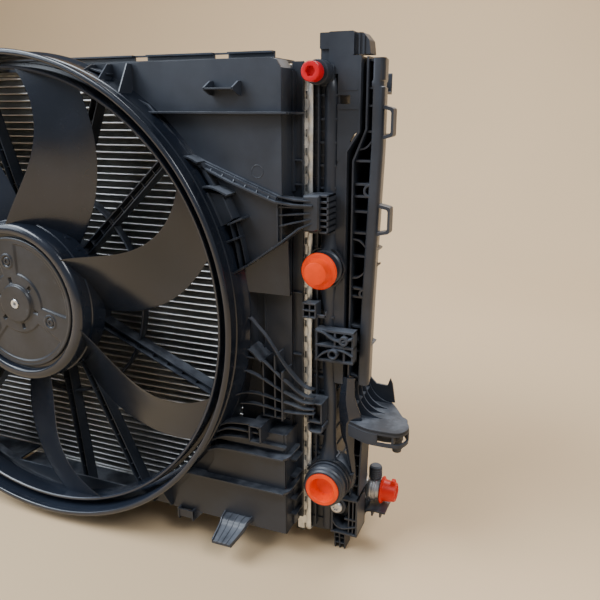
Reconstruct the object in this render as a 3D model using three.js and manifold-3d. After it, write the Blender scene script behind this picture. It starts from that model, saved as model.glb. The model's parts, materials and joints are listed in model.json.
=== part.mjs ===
// Car engine cooling module: brazed radiator, crimped end tanks, ring fan in a shroud,
// condenser in front, and the two side carriers that hold it all in the car.
// Millimetres. The model is laid out around the fan axis: +X to the right seen from the
// engine, +Y towards the front of the car, +Z up. Y = 0 is the engine side of the core.
// At the end the whole group is moved so that its origin is the middle of its footprint.
import * as THREE from 'three';
import { mergeVertices } from 'three/addons/utils/BufferGeometryUtils.js';
import Module from 'manifold-3d';

const wasm = await Module();
wasm.setup();

// ---------------------------------------------------------------- driving dimensions
const GAP = 0.3;                 // left between pieces that touch
const SHEET = 2;                 // aluminium plate
const WALL = 2.5;                // moulded plastic wall
const RIB = 2;                   // moulded plastic rib

const CORE_WIDTH = 600;          // over the two header plates
const CORE_HEIGHT = 481;
const CORE_DEPTH = 32;
const CORE_DROP = 5.5;           // core centre below the fan axis
const TUBE_PITCH = 7.63;
const TUBE_THICK = 2;
const TUBE_NOSE = 0.8;           // how far a tube stands out of the fins
const HEADER_DEPTH = 68;
const HEADER_WIDTH = 17;
const CRIMP_PITCH = 16.6;
const TANK_DEPTH = 56;
const TANK_WIDTH = 37;           // from the core side of the header to the outer wall
const TANK_WALL = 3;
const TANK_CORNER = 9;
const GASKET = 2;

const FAN_RADIUS = 236;
const FAN_BLADES = 7;
const FAN_PHASE = 76.5;          // degrees, middle of the first blade's tip
const RING_WALL = 3.4;
const RING_DEPTH = 21;
const HUB_RADIUS = 85.2;
const HUB_DEPTH = 38.5;
const HUB_FACE = -96.5;
const RING_FACE = -83;
const BLADE_THICK = 3;
const COVER_RADIUS = 70.7;
const SHAFT_RADIUS = 5;
const SHAFT_CLEARANCE = 0.3;
const BEARING_RADIUS = 8;
const SCREW_CIRCLE = 45;

const TIP_CLEARANCE = 9;         // fan ring to collar
const COLLAR_WALL = 3;
const COLLAR_FACE = -92;
const SHROUD_FACE = -50;
const SHROUD_SIDE = 15;          // shroud face edge, in from the header edge
const SHROUD_TOP_GAIN = 3;       // shroud above the core
const SHROUD_BOTTOM_SHORT = 14;  // shroud short of the core's lower edge
const POCKET_DEPTH = 23;
const TONGUE_RISE = 10;          // tongue's root above the shroud's lower edge
const TONGUE_IN = 215;           // its inner end, from the fan axis
const TONGUE_WIDTH = 35;
const POCKET_RISE = 122;         // pocket's lower edge above the core's bottom
const POCKET_TOP = 28.5;         // its upper edge above the fan axis

const STRUT_WIDTH = 7;
const STRUT_FACE = -44;
const STRUT_DEPTH = 14;
const MOTOR_RING = 66;           // inside radius of the spider's middle ring

const UPPER_PORT_DROP = 184;     // below the top of the core
const UPPER_PORT_OUT = 17;       // outside the header edge
const UPPER_NECK = 11.2;
const LOWER_PORT_RISE = 72.5;      // above the bottom of the core
const LOWER_PORT_OUT = 24.5;
const LOWER_NECK = 20.5;
const LOWER_NECK_BORE = 14.6;
const BLEED_DROP = 9;
const BLEED_OUT = 10.5;
const BLEED_NECK = 7;
const NECK_WALL = 2.7;
const CAP_BRIM = 17.5;
const CAP_TAPER_BIG = 14;
const CAP_TAPER_SMALL = 11;
const CAP_LENGTH = 13;
const CAP_WALL = 1.5;
const DRAIN_RISE = 24;

const CARRIER_BACK = -16;        // engine side of the side carriers
const CARRIER_DEPTH = 60;
const CARRIER_IN = 27.5;         // inner edge, outside the header edge
const CARRIER_OUT = 67;          // outer wall, outside the header edge
const CARRIER_TOP_DROP = -4;     // channel top, below the core's top
const CARRIER_RIBS = 10;
const CARRIER_LEAN = 14;         // how far the outer wall leans in over its depth
const LOOP_REACH = 8;            // cable loops outside the carrier's outer wall
const LEG_RISE = 52;             // foot of the swept guide above the core's bottom
const WING_RISE = 141;           // wing plate above the core's bottom
const PEG_DROP = 19;             // peg's end below the core's bottom

const CONDENSER_GAP = 6;         // header plate to condenser
const CONDENSER_DEPTH = 16;
const CONDENSER_TUBE = 10;       // radius of the upright condenser tubes
const CONDENSER_PITCH = 11;
const DRIER_RADIUS = 15;
const FITTING_RISE = 39;         // refrigerant fitting above the core's bottom
const FITTING_PLANE = 30;        // its distance in front of the core's engine side
const BEAM_REACH = 12;           // lower beam's face in front of the condenser

// ---------------------------------------------------------------- derived places
const coreTop = CORE_HEIGHT / 2 - CORE_DROP;
const coreBottom = -CORE_HEIGHT / 2 - CORE_DROP;
const edge = CORE_WIDTH / 2 + 3;             // outer edge of a header plate
const headerIn = edge - HEADER_WIDTH;
const coreEnd = headerIn - GAP;
const headerBack = (CORE_DEPTH - HEADER_DEPTH) / 2;
const headerFront = headerBack + HEADER_DEPTH;
const tankBack = (CORE_DEPTH - TANK_DEPTH) / 2;
const tankFront = tankBack + TANK_DEPTH;
const tankFoot = headerIn + SHEET + GAP + GASKET + GAP;
const tankOut = headerIn + TANK_WIDTH + 2;
const half = CORE_WIDTH / 2;
const collarIn = FAN_RADIUS + TIP_CLEARANCE;
const collarOut = collarIn + COLLAR_WALL;
const shroudSide = half - SHROUD_SIDE;
const shroudTop = coreTop + SHROUD_TOP_GAIN;
const shroudBottom = coreBottom + SHROUD_BOTTOM_SHORT;
const ringIn = FAN_RADIUS - RING_WALL;
const ringFront = RING_FACE + RING_DEPTH;
const hubFront = HUB_FACE + HUB_DEPTH;
const strutFront = STRUT_FACE + STRUT_DEPTH;
const upperPort = { x: half + UPPER_PORT_OUT, z: coreTop - UPPER_PORT_DROP };
const lowerPort = { x: half + LOWER_PORT_OUT, z: coreBottom + LOWER_PORT_RISE };
const bleedPort = { x: half + BLEED_OUT, z: coreTop - BLEED_DROP };
const drain = { x: -(half + UPPER_PORT_OUT - 3), z: coreBottom + DRAIN_RISE };
const carrierIn = half + CARRIER_IN;
const carrierOut = half + CARRIER_OUT;
const carrierFront = CARRIER_BACK + CARRIER_DEPTH;
const wingTop = coreBottom + WING_RISE;
const carrierTop = coreTop - CARRIER_TOP_DROP;
const condenserBack = headerFront + CONDENSER_GAP;
const condenserFront = condenserBack + CONDENSER_DEPTH;
const beamFront = condenserFront + BEAM_REACH;
const pegBottom = coreBottom - PEG_DROP;

// ---------------------------------------------------------------- shape helpers
const degrees = (angle) => angle * Math.PI / 180;

function signedVolume(positions, index) {
  let volume = 0;
  const a = new THREE.Vector3();
  const b = new THREE.Vector3();
  const c = new THREE.Vector3();
  for (let i = 0; i < index.length; i += 3) {
    a.fromArray(positions, 3 * index[i]);
    b.fromArray(positions, 3 * index[i + 1]);
    c.fromArray(positions, 3 * index[i + 2]);
    volume += a.dot(b.cross(c)) / 6;
  }
  return volume;
}

// A closed three.js geometry as a Manifold, with its faces turned outwards.
function solid(geometry) {
  const bare = geometry.clone();
  bare.deleteAttribute('normal');
  bare.deleteAttribute('uv');
  const merged = mergeVertices(bare, 1e-4);
  const positions = merged.attributes.position.array;
  const source = merged.index.array;
  const index = [];
  for (let i = 0; i < source.length; i += 3) {
    const [a, b, c] = [source[i], source[i + 1], source[i + 2]];
    if (a !== b && b !== c && c !== a) index.push(a, b, c);
  }
  if (signedVolume(positions, index) < 0) index.reverse();
  return new wasm.Manifold(new wasm.Mesh({
    numProp: 3,
    vertProperties: new Float32Array(positions),
    triVerts: new Uint32Array(index),
  }));
}

const join = (...pieces) => pieces.flat().reduce((sum, piece) => sum.add(piece));
const cut = (body, ...tools) => body.subtract(join(...tools));

function box(x0, x1, y0, y1, z0, z1) {
  const geometry = new THREE.BoxGeometry(x1 - x0, y1 - y0, z1 - z0);
  geometry.translate((x0 + x1) / 2, (y0 + y1) / 2, (z0 + z1) / 2);
  return solid(geometry);
}

function shapeOf(points) {
  return new THREE.Shape(points.map(([a, b]) => new THREE.Vector2(a, b)));
}

// Outline in X and Z, given its depth along Y.
function alongY(shape, y0, y1, curveSegments = 8) {
  const geometry = new THREE.ExtrudeGeometry(shape, {
    depth: y1 - y0, bevelEnabled: false, curveSegments,
  });
  geometry.rotateX(Math.PI / 2);
  geometry.translate(0, y1, 0);
  return solid(geometry);
}

// Outline in Y and Z, given its length along X.
function alongX(shape, x0, x1) {
  const geometry = new THREE.ExtrudeGeometry(shape, { depth: x1 - x0, bevelEnabled: false });
  geometry.applyMatrix4(new THREE.Matrix4().set(0, 0, 1, 0, 1, 0, 0, 0, 0, 1, 0, 0, 0, 0, 0, 1));
  geometry.translate(x0, 0, 0);
  return solid(geometry);
}

// Outline in X and Y, given its height along Z.
function alongZ(shape, z0, z1, curveSegments = 6) {
  const geometry = new THREE.ExtrudeGeometry(shape, {
    depth: z1 - z0, bevelEnabled: false, curveSegments,
  });
  geometry.translate(0, 0, z0);
  return solid(geometry);
}

// Closed profile of [radius, y] points turned round an axis along Y.
function turned(profile, segments, x = 0, z = 0) {
  const closed = [...profile, profile[0]];
  const points = closed.map(([radius, y]) => new THREE.Vector2(radius, y));
  const onAxis = profile[0][0] === 0;
  const geometry = new THREE.LatheGeometry(onAxis ? points.slice(0, -1) : points, segments);
  geometry.translate(x, 0, z);
  return solid(geometry);
}

const ring = (inner, outer, y0, y1, segments, x = 0, z = 0) =>
  turned([[inner, y0], [outer, y0], [outer, y1], [inner, y1]], segments, x, z);
const disc = (radius, y0, y1, segments, x = 0, z = 0) =>
  turned([[0, y0], [radius, y0], [radius, y1], [0, y1]], segments, x, z);

// Closed profile of [radius, z] points turned round an upright axis.
function turnedUpright(profile, segments, x, y) {
  const points = profile.map(([radius, z]) => new THREE.Vector2(radius, z));
  const geometry = new THREE.LatheGeometry(points, segments);
  geometry.rotateX(Math.PI / 2);
  geometry.translate(x, y, 0);
  return solid(geometry);
}

// A wall of even thickness along an open line of [x, z] points, from y0 to y1.
function wallAlong(points, thickness, y0, y1) {
  const line = points.map(([x, z]) => new THREE.Vector2(x, z));
  const left = [];
  const right = [];
  line.forEach((point, i) => {
    const before = line[Math.max(i - 1, 0)];
    const after = line[Math.min(i + 1, line.length - 1)];
    const incoming = (i === 0 ? after.clone().sub(point) : point.clone().sub(before)).normalize();
    const outgoing = (after === point ? incoming : after.clone().sub(point).normalize());
    const along = incoming.clone().add(outgoing).normalize();
    const reach = thickness / 2 / Math.max(0.5, along.dot(outgoing));
    const side = new THREE.Vector2(-along.y, along.x).multiplyScalar(reach);
    left.push(point.clone().add(side));
    right.unshift(point.clone().sub(side));
  });
  return alongY(new THREE.Shape([...left, ...right]), y0, y1);
}

function mirrored(body) {
  return body.mirror([1, 0, 0]);
}

// ---------------------------------------------------------------- materials
const finish = (color, roughness, metalness) => ({ color, roughness, metalness });
const FIN_ALUMINIUM = finish(0x9a9a98, 0.45, 0.9);
const PLATE_ALUMINIUM = finish(0xc9c8c2, 0.4, 0.9);
const SATIN_PLASTIC = finish(0x2b2f34, 0.5, 0);
const TANK_PLASTIC = finish(0x30343a, 0.45, 0);
const GLOSS_PLASTIC = finish(0x14161a, 0.25, 0);
const MOTOR_STEEL = finish(0x1b1d20, 0.35, 0.6);
const BRIGHT_STEEL = finish(0xb9b9b4, 0.3, 1);
const COPPER = finish(0xa5552e, 0.4, 0.9);
const ORANGE_CAP = finish(0xe8551a, 0.5, 0);
const RED_CAP = finish(0xd8232f, 0.5, 0);
const RUBBER = finish(0x101113, 0.8, 0);

const model = new THREE.Group();

function addPart(name, body, look) {
  const result = body.getMesh();
  const geometry = new THREE.BufferGeometry();
  const positions = new Float32Array(result.vertProperties);
  geometry.setAttribute('position', new THREE.BufferAttribute(positions, 3));
  geometry.setIndex(new THREE.BufferAttribute(new Uint32Array(result.triVerts), 1));
  geometry.computeVertexNormals();
  const mesh = new THREE.Mesh(geometry, new THREE.MeshStandardMaterial(look));
  mesh.name = name;
  model.add(mesh);
}

// Adds the same piece on the right and, turned over, on the left.
function addPair(name, body, look) {
  addPart(`${name}_right`, body, look);
  addPart(`${name}_left`, mirrored(body), look);
}

// ---------------------------------------------------------------- radiator core
// Slab of flat tubes and fins whose tube noses stand a little proud of the fins on one face.
// nose is the y of the tube noses, plain that of the even face behind them.
function finnedSlab(end, nose, plain, low, high, pitch, tube) {
  const count = Math.floor((high - low - tube) / pitch);
  const start = (low + high - count * pitch) / 2;
  const fins = nose + Math.sign(plain - nose) * TUBE_NOSE;
  const line = [];
  for (let i = 0; i <= count; i += 1) {
    const z = start + i * pitch;
    line.push([fins, z - tube / 2], [nose, z - tube / 2], [nose, z + tube / 2], [fins, z + tube / 2]);
  }
  return alongX(shapeOf([[plain, low], [fins, low], ...line, [fins, high], [plain, high]]), -end, end);
}

function radiatorCore() {
  return finnedSlab(coreEnd, 0, CORE_DEPTH, coreBottom + 5 + GAP, coreTop - 5 - GAP,
    TUBE_PITCH, TUBE_THICK);
}

// Channel that closes the core above or below, its open side away from the core.
function sidePlate(top) {
  const inner = top ? coreTop - 5 : coreBottom + 5;
  const outer = top ? coreTop : coreBottom;
  const floor = inner + (top ? 1.5 : -1.5);
  return alongX(shapeOf([
    [0, inner], [CORE_DEPTH, inner], [CORE_DEPTH, outer], [CORE_DEPTH - 1.5, outer],
    [CORE_DEPTH - 1.5, floor], [1.5, floor], [1.5, outer], [0, outer],
  ]), -coreEnd, coreEnd);
}

// Tray that takes the tube ends; its rim is cut into crimping tabs.
function header() {
  const tray = cut(
    box(headerIn, edge, headerBack, headerFront, coreBottom, coreTop),
    box(headerIn + SHEET, edge + 1, headerBack + SHEET, headerFront - SHEET,
      coreBottom + SHEET, coreTop - SHEET),
  );
  const slots = [];
  const count = Math.floor((CORE_HEIGHT - 10) / CRIMP_PITCH);
  const start = coreTop - 11;
  for (let i = 0; i < count; i += 1) {
    const z = start - i * CRIMP_PITCH;
    slots.push(box(edge - 2.6, edge + 1, headerBack - 1, headerBack + SHEET + 1, z - 2, z + 2));
  }
  return cut(tray, slots);
}

function gasket() {
  const inside = 5;
  const low = coreBottom + SHEET + GAP;
  const high = coreTop - SHEET - GAP;
  const back = headerBack + SHEET + GAP;
  const front = headerFront - SHEET - GAP;
  const x0 = headerIn + SHEET + GAP;
  return cut(
    box(x0, x0 + GASKET, back, front, low, high),
    box(x0 - 1, x0 + GASKET + 1, back + inside, front - inside, low + inside, high - inside),
  );
}

// ---------------------------------------------------------------- end tanks
function tankOutline(inset, x0) {
  const outer = tankOut - inset;
  const back = tankBack + inset;
  const front = tankFront - inset;
  const corner = TANK_CORNER - inset;
  const shape = new THREE.Shape();
  shape.moveTo(x0, back);
  shape.lineTo(outer - corner, back);
  shape.absarc(outer - corner, back + corner, corner, -Math.PI / 2, 0, false);
  shape.lineTo(outer, front - corner);
  shape.absarc(outer - corner, front - corner, corner, 0, Math.PI / 2, false);
  shape.lineTo(x0, front);
  return shape;
}

function tankShell() {
  const low = coreBottom + SHEET + GAP;
  const high = coreTop - SHEET - GAP;
  const foot = box(tankFoot, tankFoot + 4, headerBack + SHEET + GAP, headerFront - SHEET - GAP,
    low, high);
  const body = alongZ(tankOutline(0, tankFoot), low, high);
  const hollow = alongZ(tankOutline(TANK_WALL, tankFoot - 1), low + TANK_WALL, high - TANK_WALL);
  return { body: join(foot, body), hollow };
}

const upperNeckEnd = headerBack - 23;
const lowerNeckEnd = headerBack - 26;
const bleedNeckEnd = headerBack - 22;
const bleedShoulder = headerBack - 13;
const clipBack = headerBack - 3;
const latchFront = headerBack - GAP;

function tankRight() {
  const { body, hollow } = tankShell();
  const { x: ux, z: uz } = upperPort;
  const { x: lx, z: lz } = lowerPort;
  const { x: bx, z: bz } = bleedPort;
  const inside = tankBack + TANK_WALL + 1;
  const outer = join(
    body,
    turned([[0, upperNeckEnd], [UPPER_NECK, upperNeckEnd], [UPPER_NECK, clipBack - 3],
      [18.5, clipBack - 3], [18.5, latchFront], [10, latchFront], [10, tankBack + 1],
      [0, tankBack + 1]], 20, ux, uz),
    turned([[0, lowerNeckEnd], [LOWER_NECK, lowerNeckEnd], [LOWER_NECK, tankBack + 18],
      [0, tankBack + 18]], 24, lx, lz),
    disc(BLEED_NECK, bleedNeckEnd, tankBack + 1, 16, bx, bz),
    disc(BLEED_NECK + 3.5, bleedShoulder, latchFront, 16, bx, bz),
  );
  return cut(outer, hollow,
    disc(UPPER_NECK - NECK_WALL, upperNeckEnd - 1, inside, 20, ux, uz),
    disc(LOWER_NECK_BORE, lowerNeckEnd - 1, tankBack + 14, 24, lx, lz),
    disc(BLEED_NECK - NECK_WALL, bleedNeckEnd - 1, inside, 16, bx, bz));
}

function tankLeft() {
  const { body, hollow } = tankShell();
  const outlet = { x: drain.x, z: drain.z };
  const outer = join(mirrored(body), disc(10, tankBack - 8, tankBack + 1, 20, outlet.x, outlet.z));
  return cut(outer, mirrored(hollow),
    disc(5.3, tankBack - 9, tankBack + TANK_WALL + 1, 20, outlet.x, outlet.z));
}

// Screw-in tap with a flat thumb grip.
function drainTap() {
  const { x, z } = drain;
  const seat = tankBack - 8 - GAP;
  return join(
    disc(5, seat, tankBack + 2, 20, x, z),
    disc(9, seat - 4, seat, 20, x, z),
    box(x - 2, x + 2, seat - 14, seat - 3.5, z - 10, z + 10),
  );
}

// Open spring ring that locks a hose end on its neck.
function portClip(port, neck, y0) {
  const loop = ring(neck + GAP, neck + 3.2, y0, y0 + 4, 24, port.x, port.z);
  const gate = box(port.x - neck - 5, port.x - neck * 0.6, y0 - 1, y0 + 5,
    port.z - neck * 0.5, port.z - neck * 0.1);
  return cut(loop, gate);
}

// Profile of [radius, y] points that starts and ends on the axis along Y.
function turnedOpen(profile, segments, x, z) {
  const points = profile.map(([radius, y]) => new THREE.Vector2(radius, y));
  const geometry = new THREE.LatheGeometry(points, segments);
  geometry.translate(x, 0, z);
  return solid(geometry);
}

// Tapered transport cup with a brim at its open end. end says where the closed end lies:
// -1 for a cap that stands over a neck, +1 for a plug that sits inside one.
function transportCup(port, brim, end) {
  const y = (distance) => brim + end * distance;
  return turnedOpen([
    [0, y(CAP_LENGTH)], [CAP_TAPER_SMALL, y(CAP_LENGTH)], [CAP_TAPER_BIG, y(2)],
    [CAP_BRIM, y(2)], [CAP_BRIM, y(0)], [CAP_TAPER_BIG - CAP_WALL, y(0)],
    [CAP_TAPER_SMALL - CAP_WALL, y(CAP_LENGTH - CAP_WALL)], [0, y(CAP_LENGTH - CAP_WALL)],
  ], 24, port.x, port.z);
}

function bleedCap() {
  const { x, z } = bleedPort;
  const sleeve = BLEED_NECK + GAP;
  const tip = bleedNeckEnd - GAP;
  return turnedOpen([
    [0, tip - 2], [4, tip - 2], [4, tip - 7], [sleeve + 2, tip - 7], [sleeve + 2, bleedShoulder - GAP],
    [sleeve, bleedShoulder - GAP], [sleeve, tip], [0, tip],
  ], 16, x, z);
}

// ---------------------------------------------------------------- ring fan
const fanSegments = 56;
const hubSegments = 40;
const canSegments = 28;

// The blade's middle line, chord, depth and slope, from root (0) to tip (1).
const bladeSweep = (u) => -8.3 - 20.7 * u + 29 * u * u;
const bladeChord = (u) => 44 - 59.5 * u + 31 * u * u;
const bladeMiddle = (u) => -74.5 - 1 * u;
const bladeSlope = (u) => 39 - 26 * u;

function blade(number) {
  const geometry = new THREE.BoxGeometry(1, 1, 1, 6, 3, 1);
  const at = geometry.attributes.position;
  const root = HUB_RADIUS - 1.5;
  const tip = ringIn + 1.2;
  const phase = FAN_PHASE + number * 360 / FAN_BLADES;
  for (let i = 0; i < at.count; i += 1) {
    const u = at.getX(i) + 0.5;
    const v = at.getY(i);
    const radius = root + (tip - root) * u;
    const angle = degrees(phase + bladeSweep(u) + bladeChord(u) * v);
    const y = bladeMiddle(u) - bladeSlope(u) * v + at.getZ(i) * BLADE_THICK * (1 - 0.5 * u);
    at.setXYZ(i, radius * Math.cos(angle), y, radius * Math.sin(angle));
  }
  return solid(geometry);
}

function screwPlaces() {
  return [-21, 99, 219].map((angle) => ({
    x: SCREW_CIRCLE * Math.cos(degrees(angle)),
    z: SCREW_CIRCLE * Math.sin(degrees(angle)),
  }));
}

const coverFace = HUB_FACE + 3.5;
const flangeFace = coverFace + 2.5 + GAP;
const flangeBack = flangeFace + 2.2;
const canFace = flangeBack + 0.5;

function fan() {
  const hub = turned([
    [30, flangeFace], [COVER_RADIUS + GAP, flangeFace], [COVER_RADIUS + GAP, HUB_FACE],
    [HUB_RADIUS, HUB_FACE], [HUB_RADIUS, hubFront], [HUB_RADIUS - 3.2, hubFront],
    [HUB_RADIUS - 3.2, HUB_FACE + 3.2], [COVER_RADIUS + 2.5, HUB_FACE + 3.2],
    [COVER_RADIUS + 2.5, flangeBack], [30, flangeBack],
  ], hubSegments);
  const outer = ring(ringIn, FAN_RADIUS, RING_FACE, ringFront, fanSegments);
  const lip = ring(FAN_RADIUS - 1, FAN_RADIUS + 4, ringFront - 3, ringFront, fanSegments);
  const blades = Array.from({ length: FAN_BLADES }, (_, number) => blade(number));
  const holes = screwPlaces().map(({ x, z }) => disc(2.3, flangeFace - 1, flangeBack + 1, 8, x, z));
  return cut(join(hub, outer, lip, blades), holes);
}

// Pressed cover on the hub with the boss in its middle and three petal recesses.
function rotorCover() {
  const plate = turned([
    [SHAFT_RADIUS + GAP, coverFace - 3], [19.5, coverFace - 3], [21, coverFace],
    [COVER_RADIUS, coverFace], [COVER_RADIUS, coverFace + 2.5],
    [SHAFT_RADIUS + GAP, coverFace + 2.5],
  ], hubSegments);
  const tools = [];
  for (const { x, z } of screwPlaces()) {
    tools.push(disc(7, coverFace - 1, coverFace + 1.2, 12, x, z));
    tools.push(disc(2.3, coverFace, coverFace + 3, 8, x, z));
  }
  for (let i = 0; i < 3; i += 1) {
    const angle = degrees(39 + 120 * i);
    tools.push(disc(15, coverFace - 1, coverFace + 0.8, 12,
      47 * Math.cos(angle), 47 * Math.sin(angle)));
  }
  return cut(plate, tools);
}

function rotorScrew({ x, z }) {
  const seat = coverFace + 1.2 - GAP;
  const head = disc(4.5, seat - 1.6, seat, 12, x, z);
  const shank = disc(2, seat - 0.5, canFace - GAP, 8, x, z);
  return join(head, shank);
}

function motorShaft() {
  return disc(SHAFT_RADIUS, coverFace - 4, STRUT_FACE + 1, 24);
}

// ---------------------------------------------------------------- motor
const baseBack = STRUT_FACE - 2;
const baseFront = STRUT_FACE + 2;
const canRadius = 61.5;
const bearingBore = SHAFT_RADIUS + SHAFT_CLEARANCE;

function rotorCan() {
  return turned([
    [SHAFT_RADIUS + GAP, canFace], [canRadius, canFace], [canRadius, baseBack - 4],
    [canRadius - 2.5, baseBack - 4], [canRadius - 2.5, canFace + 2],
    [SHAFT_RADIUS + GAP, canFace + 2],
  ], canSegments);
}

function magnetRing() {
  return ring(54, canRadius - 2.5 - GAP, canFace + 6, baseBack - 6, canSegments);
}

function statorWinding() {
  const teeth = [];
  for (let i = 0; i < 12; i += 1) {
    const tooth = box(20, 52, canFace + 8, baseBack - 6, -5.5, 5.5);
    teeth.push(tooth.rotate([0, 30 * i, 0]));
  }
  return join(ring(13.3, 24, canFace + 8, baseBack - 6, 24), teeth);
}

function motorBase() {
  const plate = ring(bearingBore, MOTOR_RING - GAP, baseBack, baseFront, hubSegments);
  const tube = ring(BEARING_RADIUS + GAP, 13, canFace + 6, baseBack + 1, 24);
  return join(plate, tube);
}

function bearing(y0) {
  return ring(bearingBore, BEARING_RADIUS, y0, y0 + 7, 24);
}

function fanController() {
  const body = box(-34, 34, baseFront + GAP, strutFront + 4, -24, 24);
  const fins = [];
  for (let i = 0; i < 8; i += 1) {
    const x = -30 + i * 8;
    fins.push(box(x, x + 2.5, strutFront + 3, strutFront + 9, -22, 22));
  }
  return join(body, fins);
}

function controllerSocket() {
  const shell = box(-15, 15, baseFront + 2, strutFront + 2, -44, -24 - GAP);
  return cut(shell, box(-12.5, 12.5, baseFront + 4, strutFront, -45, -28));
}

// ---------------------------------------------------------------- motor spider
const STRUT_ANGLES = [107, 68, 43, -23.5, -65, -84, -130, -157, 178, 143];

function motorSpider() {
  const hoopOut = collarOut + 0.2;
  const hoop = ring(hoopOut - 4.7, hoopOut, SHROUD_FACE + WALL + GAP, SHROUD_FACE + 12,
    fanSegments);
  const middle = ring(MOTOR_RING, MOTOR_RING + 7, STRUT_FACE - 2, strutFront, hubSegments);
  const struts = STRUT_ANGLES.map((angle) => {
    const bar = box(MOTOR_RING + 5, hoopOut - 2, STRUT_FACE, strutFront,
      -STRUT_WIDTH / 2, STRUT_WIDTH / 2);
    return bar.rotate([0, -angle, 0]);
  });
  return join(hoop, middle, struts);
}

// ---------------------------------------------------------------- fan shroud
function shroudOutline(inset, y0, y1) {
  const panel = box(-shroudSide + inset, shroudSide - inset, y0, y1,
    shroudBottom + inset, shroudTop - inset);
  return panel.add(disc(collarOut + 3 - inset, y0, y1, fanSegments));
}

function shroudRibs(side) {
  const face = SHROUD_FACE + 1;
  const top = shroudTop;
  const low = shroudBottom;
  const right = shroudSide;
  const rib = (points, height) => wallAlong(
    points.map(([x, z]) => [side * x, z]), RIB, SHROUD_FACE - height, face);
  return [
    rib([[140, top - 46], [right, top - 45]], 12),
    rib([[178, top - 88], [right, top - 117]], 14),
    rib([[186, top - 97], [right, top - 123]], 10),
    rib([[213, top - 31], [246, top - 31]], 10),
    rib([[214, 62], [250, 78], [right, 97]], 12),
    rib([[255, 26], [right, 26]], 6),
    rib([[230, low + 105], [right, low + 102]], 14),
    rib([[190, low + 70], [right, low + 70]], 14),
    rib([[255, -62], [right, -100]], 8),
    rib([[252, -84], [right, -112]], 8),
  ];
}

function fanShroud() {
  const front = -GAP - 1.7;
  const shell = cut(
    shroudOutline(0, SHROUD_FACE, front),
    shroudOutline(WALL, SHROUD_FACE + WALL, front + 1),
    disc(collarIn, SHROUD_FACE - 1, front, fanSegments),
  );
  const collar = ring(collarIn, collarOut, COLLAR_FACE, SHROUD_FACE + WALL, fanSegments);
  const lip = ring(collarIn, collarOut + 3, COLLAR_FACE, COLLAR_FACE + 3, fanSegments);
  const additions = [collar, lip];
  const tools = [];
  const pocketLow = coreBottom + POCKET_RISE;
  const pocketHigh = POCKET_TOP;
  const floor = SHROUD_FACE + POCKET_DEPTH;
  for (const side of [-1, 1]) {
    const span = (from, to) => (side > 0 ? [from, to] : [-to, -from]);
    const [x0, x1] = span(collarOut + 2, shroudSide);
    const [i0, i1] = span(collarOut + 2 + WALL, shroudSide - WALL);
    const [f0, f1] = span(shroudSide - 1, half - 5.5);
    additions.push(box(x0, x1, SHROUD_FACE, floor + WALL, pocketLow, pocketHigh));
    additions.push(box(f0, f1, headerBack - GAP - WALL, headerBack - GAP,
      shroudBottom + 4, shroudTop - 2));
    tools.push(box(i0, i1, SHROUD_FACE - 1, floor, pocketLow + WALL, pocketHigh - WALL));
  }
  const ribs = [...shroudRibs(1), ...shroudRibs(-1)];
  const sealLip = box(-shroudSide + 26, shroudSide - 26, front - WALL, front,
    shroudTop - 1, shroudTop + 9);
  const windows = [-225, -115, 105, 215].map((x) =>
    box(x, x + 15, front - 5, front + 1, shroudTop + 2, shroudTop + 7));
  return cut(join(cut(join(shell, additions), tools), ribs, sealLip), windows,
    disc(collarIn - 0.01, COLLAR_FACE - 20, SHROUD_FACE + WALL, fanSegments));
}

// Folded tongue on the shroud's face that hooks into the car's lower beam.
function shroudTongue() {
  const root = shroudBottom + TONGUE_RISE;
  const back = SHROUD_FACE - GAP;
  return alongX(shapeOf([
    [back, root], [back - 10, root - 2], [back - 16, root - 7], [back - 34, root - 14],
    [back - 34, root - 17], [back - 14, root - 10.5], [back - 8, root - 6], [back, root - 5],
  ]), TONGUE_IN, TONGUE_IN + TONGUE_WIDTH);
}

// ---------------------------------------------------------------- latches and brackets
function latchBlock(x0, x1, y0, z0, z1) {
  const body = box(x0, x1, y0, latchFront, z0, z1);
  const slots = [];
  const pitch = (z1 - z0 - 6) / 4;
  for (let i = 0; i < 4; i += 1) {
    const z = z0 + 3 + i * pitch;
    slots.push(box(x1 - 7, x1 - 2, y0 - 1, latchFront - 3, z + 1, z + pitch - 1));
  }
  return cut(body, slots);
}

function lowerLatch() {
  const z0 = coreBottom + 128;
  const body = box(half + 1, half + 22, -42, latchFront, z0, z0 + 36);
  return cut(body, box(half + 4, half + 15, -43, -24, z0 + 4, z0 + 12));
}

function cableClip() {
  const z0 = coreTop - 233;
  const body = box(half - 2, half + 12, -34, latchFront, z0, z0 + 16);
  const arm = box(half + 11, half + 22, -30, -27, z0 + 1, z0 + 4);
  return join(body, arm);
}

// Cell-stiffened arm from the carrier to the tank, with a round socket.
function tankBracket() {
  const z0 = coreBottom + 206;
  const x0 = half + 10;
  const y1 = CARRIER_BACK - GAP;
  const arm = box(x0, carrierIn + 22, -30, y1, z0, z0 + 32);
  const pad = box(x0, carrierIn - 1, y1 - 1, tankBack - GAP, z0, z0 + 32);
  const cells = [];
  for (let column = 0; column < 2; column += 1) {
    for (let row = 0; row < 2; row += 1) {
      const x = x0 + 2.5 + column * 19.5;
      const z = z0 + 2.5 + row * 14.5;
      cells.push(box(x, x + 17, -31, y1 - 2.5, z, z + 12));
    }
  }
  const socket = disc(7, -36, y1 - 1, 20, x0 + 17, z0 + 6);
  return cut(join(cut(arm, cells), pad, socket), disc(4.2, -37, y1 - 3, 20, x0 + 17, z0 + 6));
}

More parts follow.
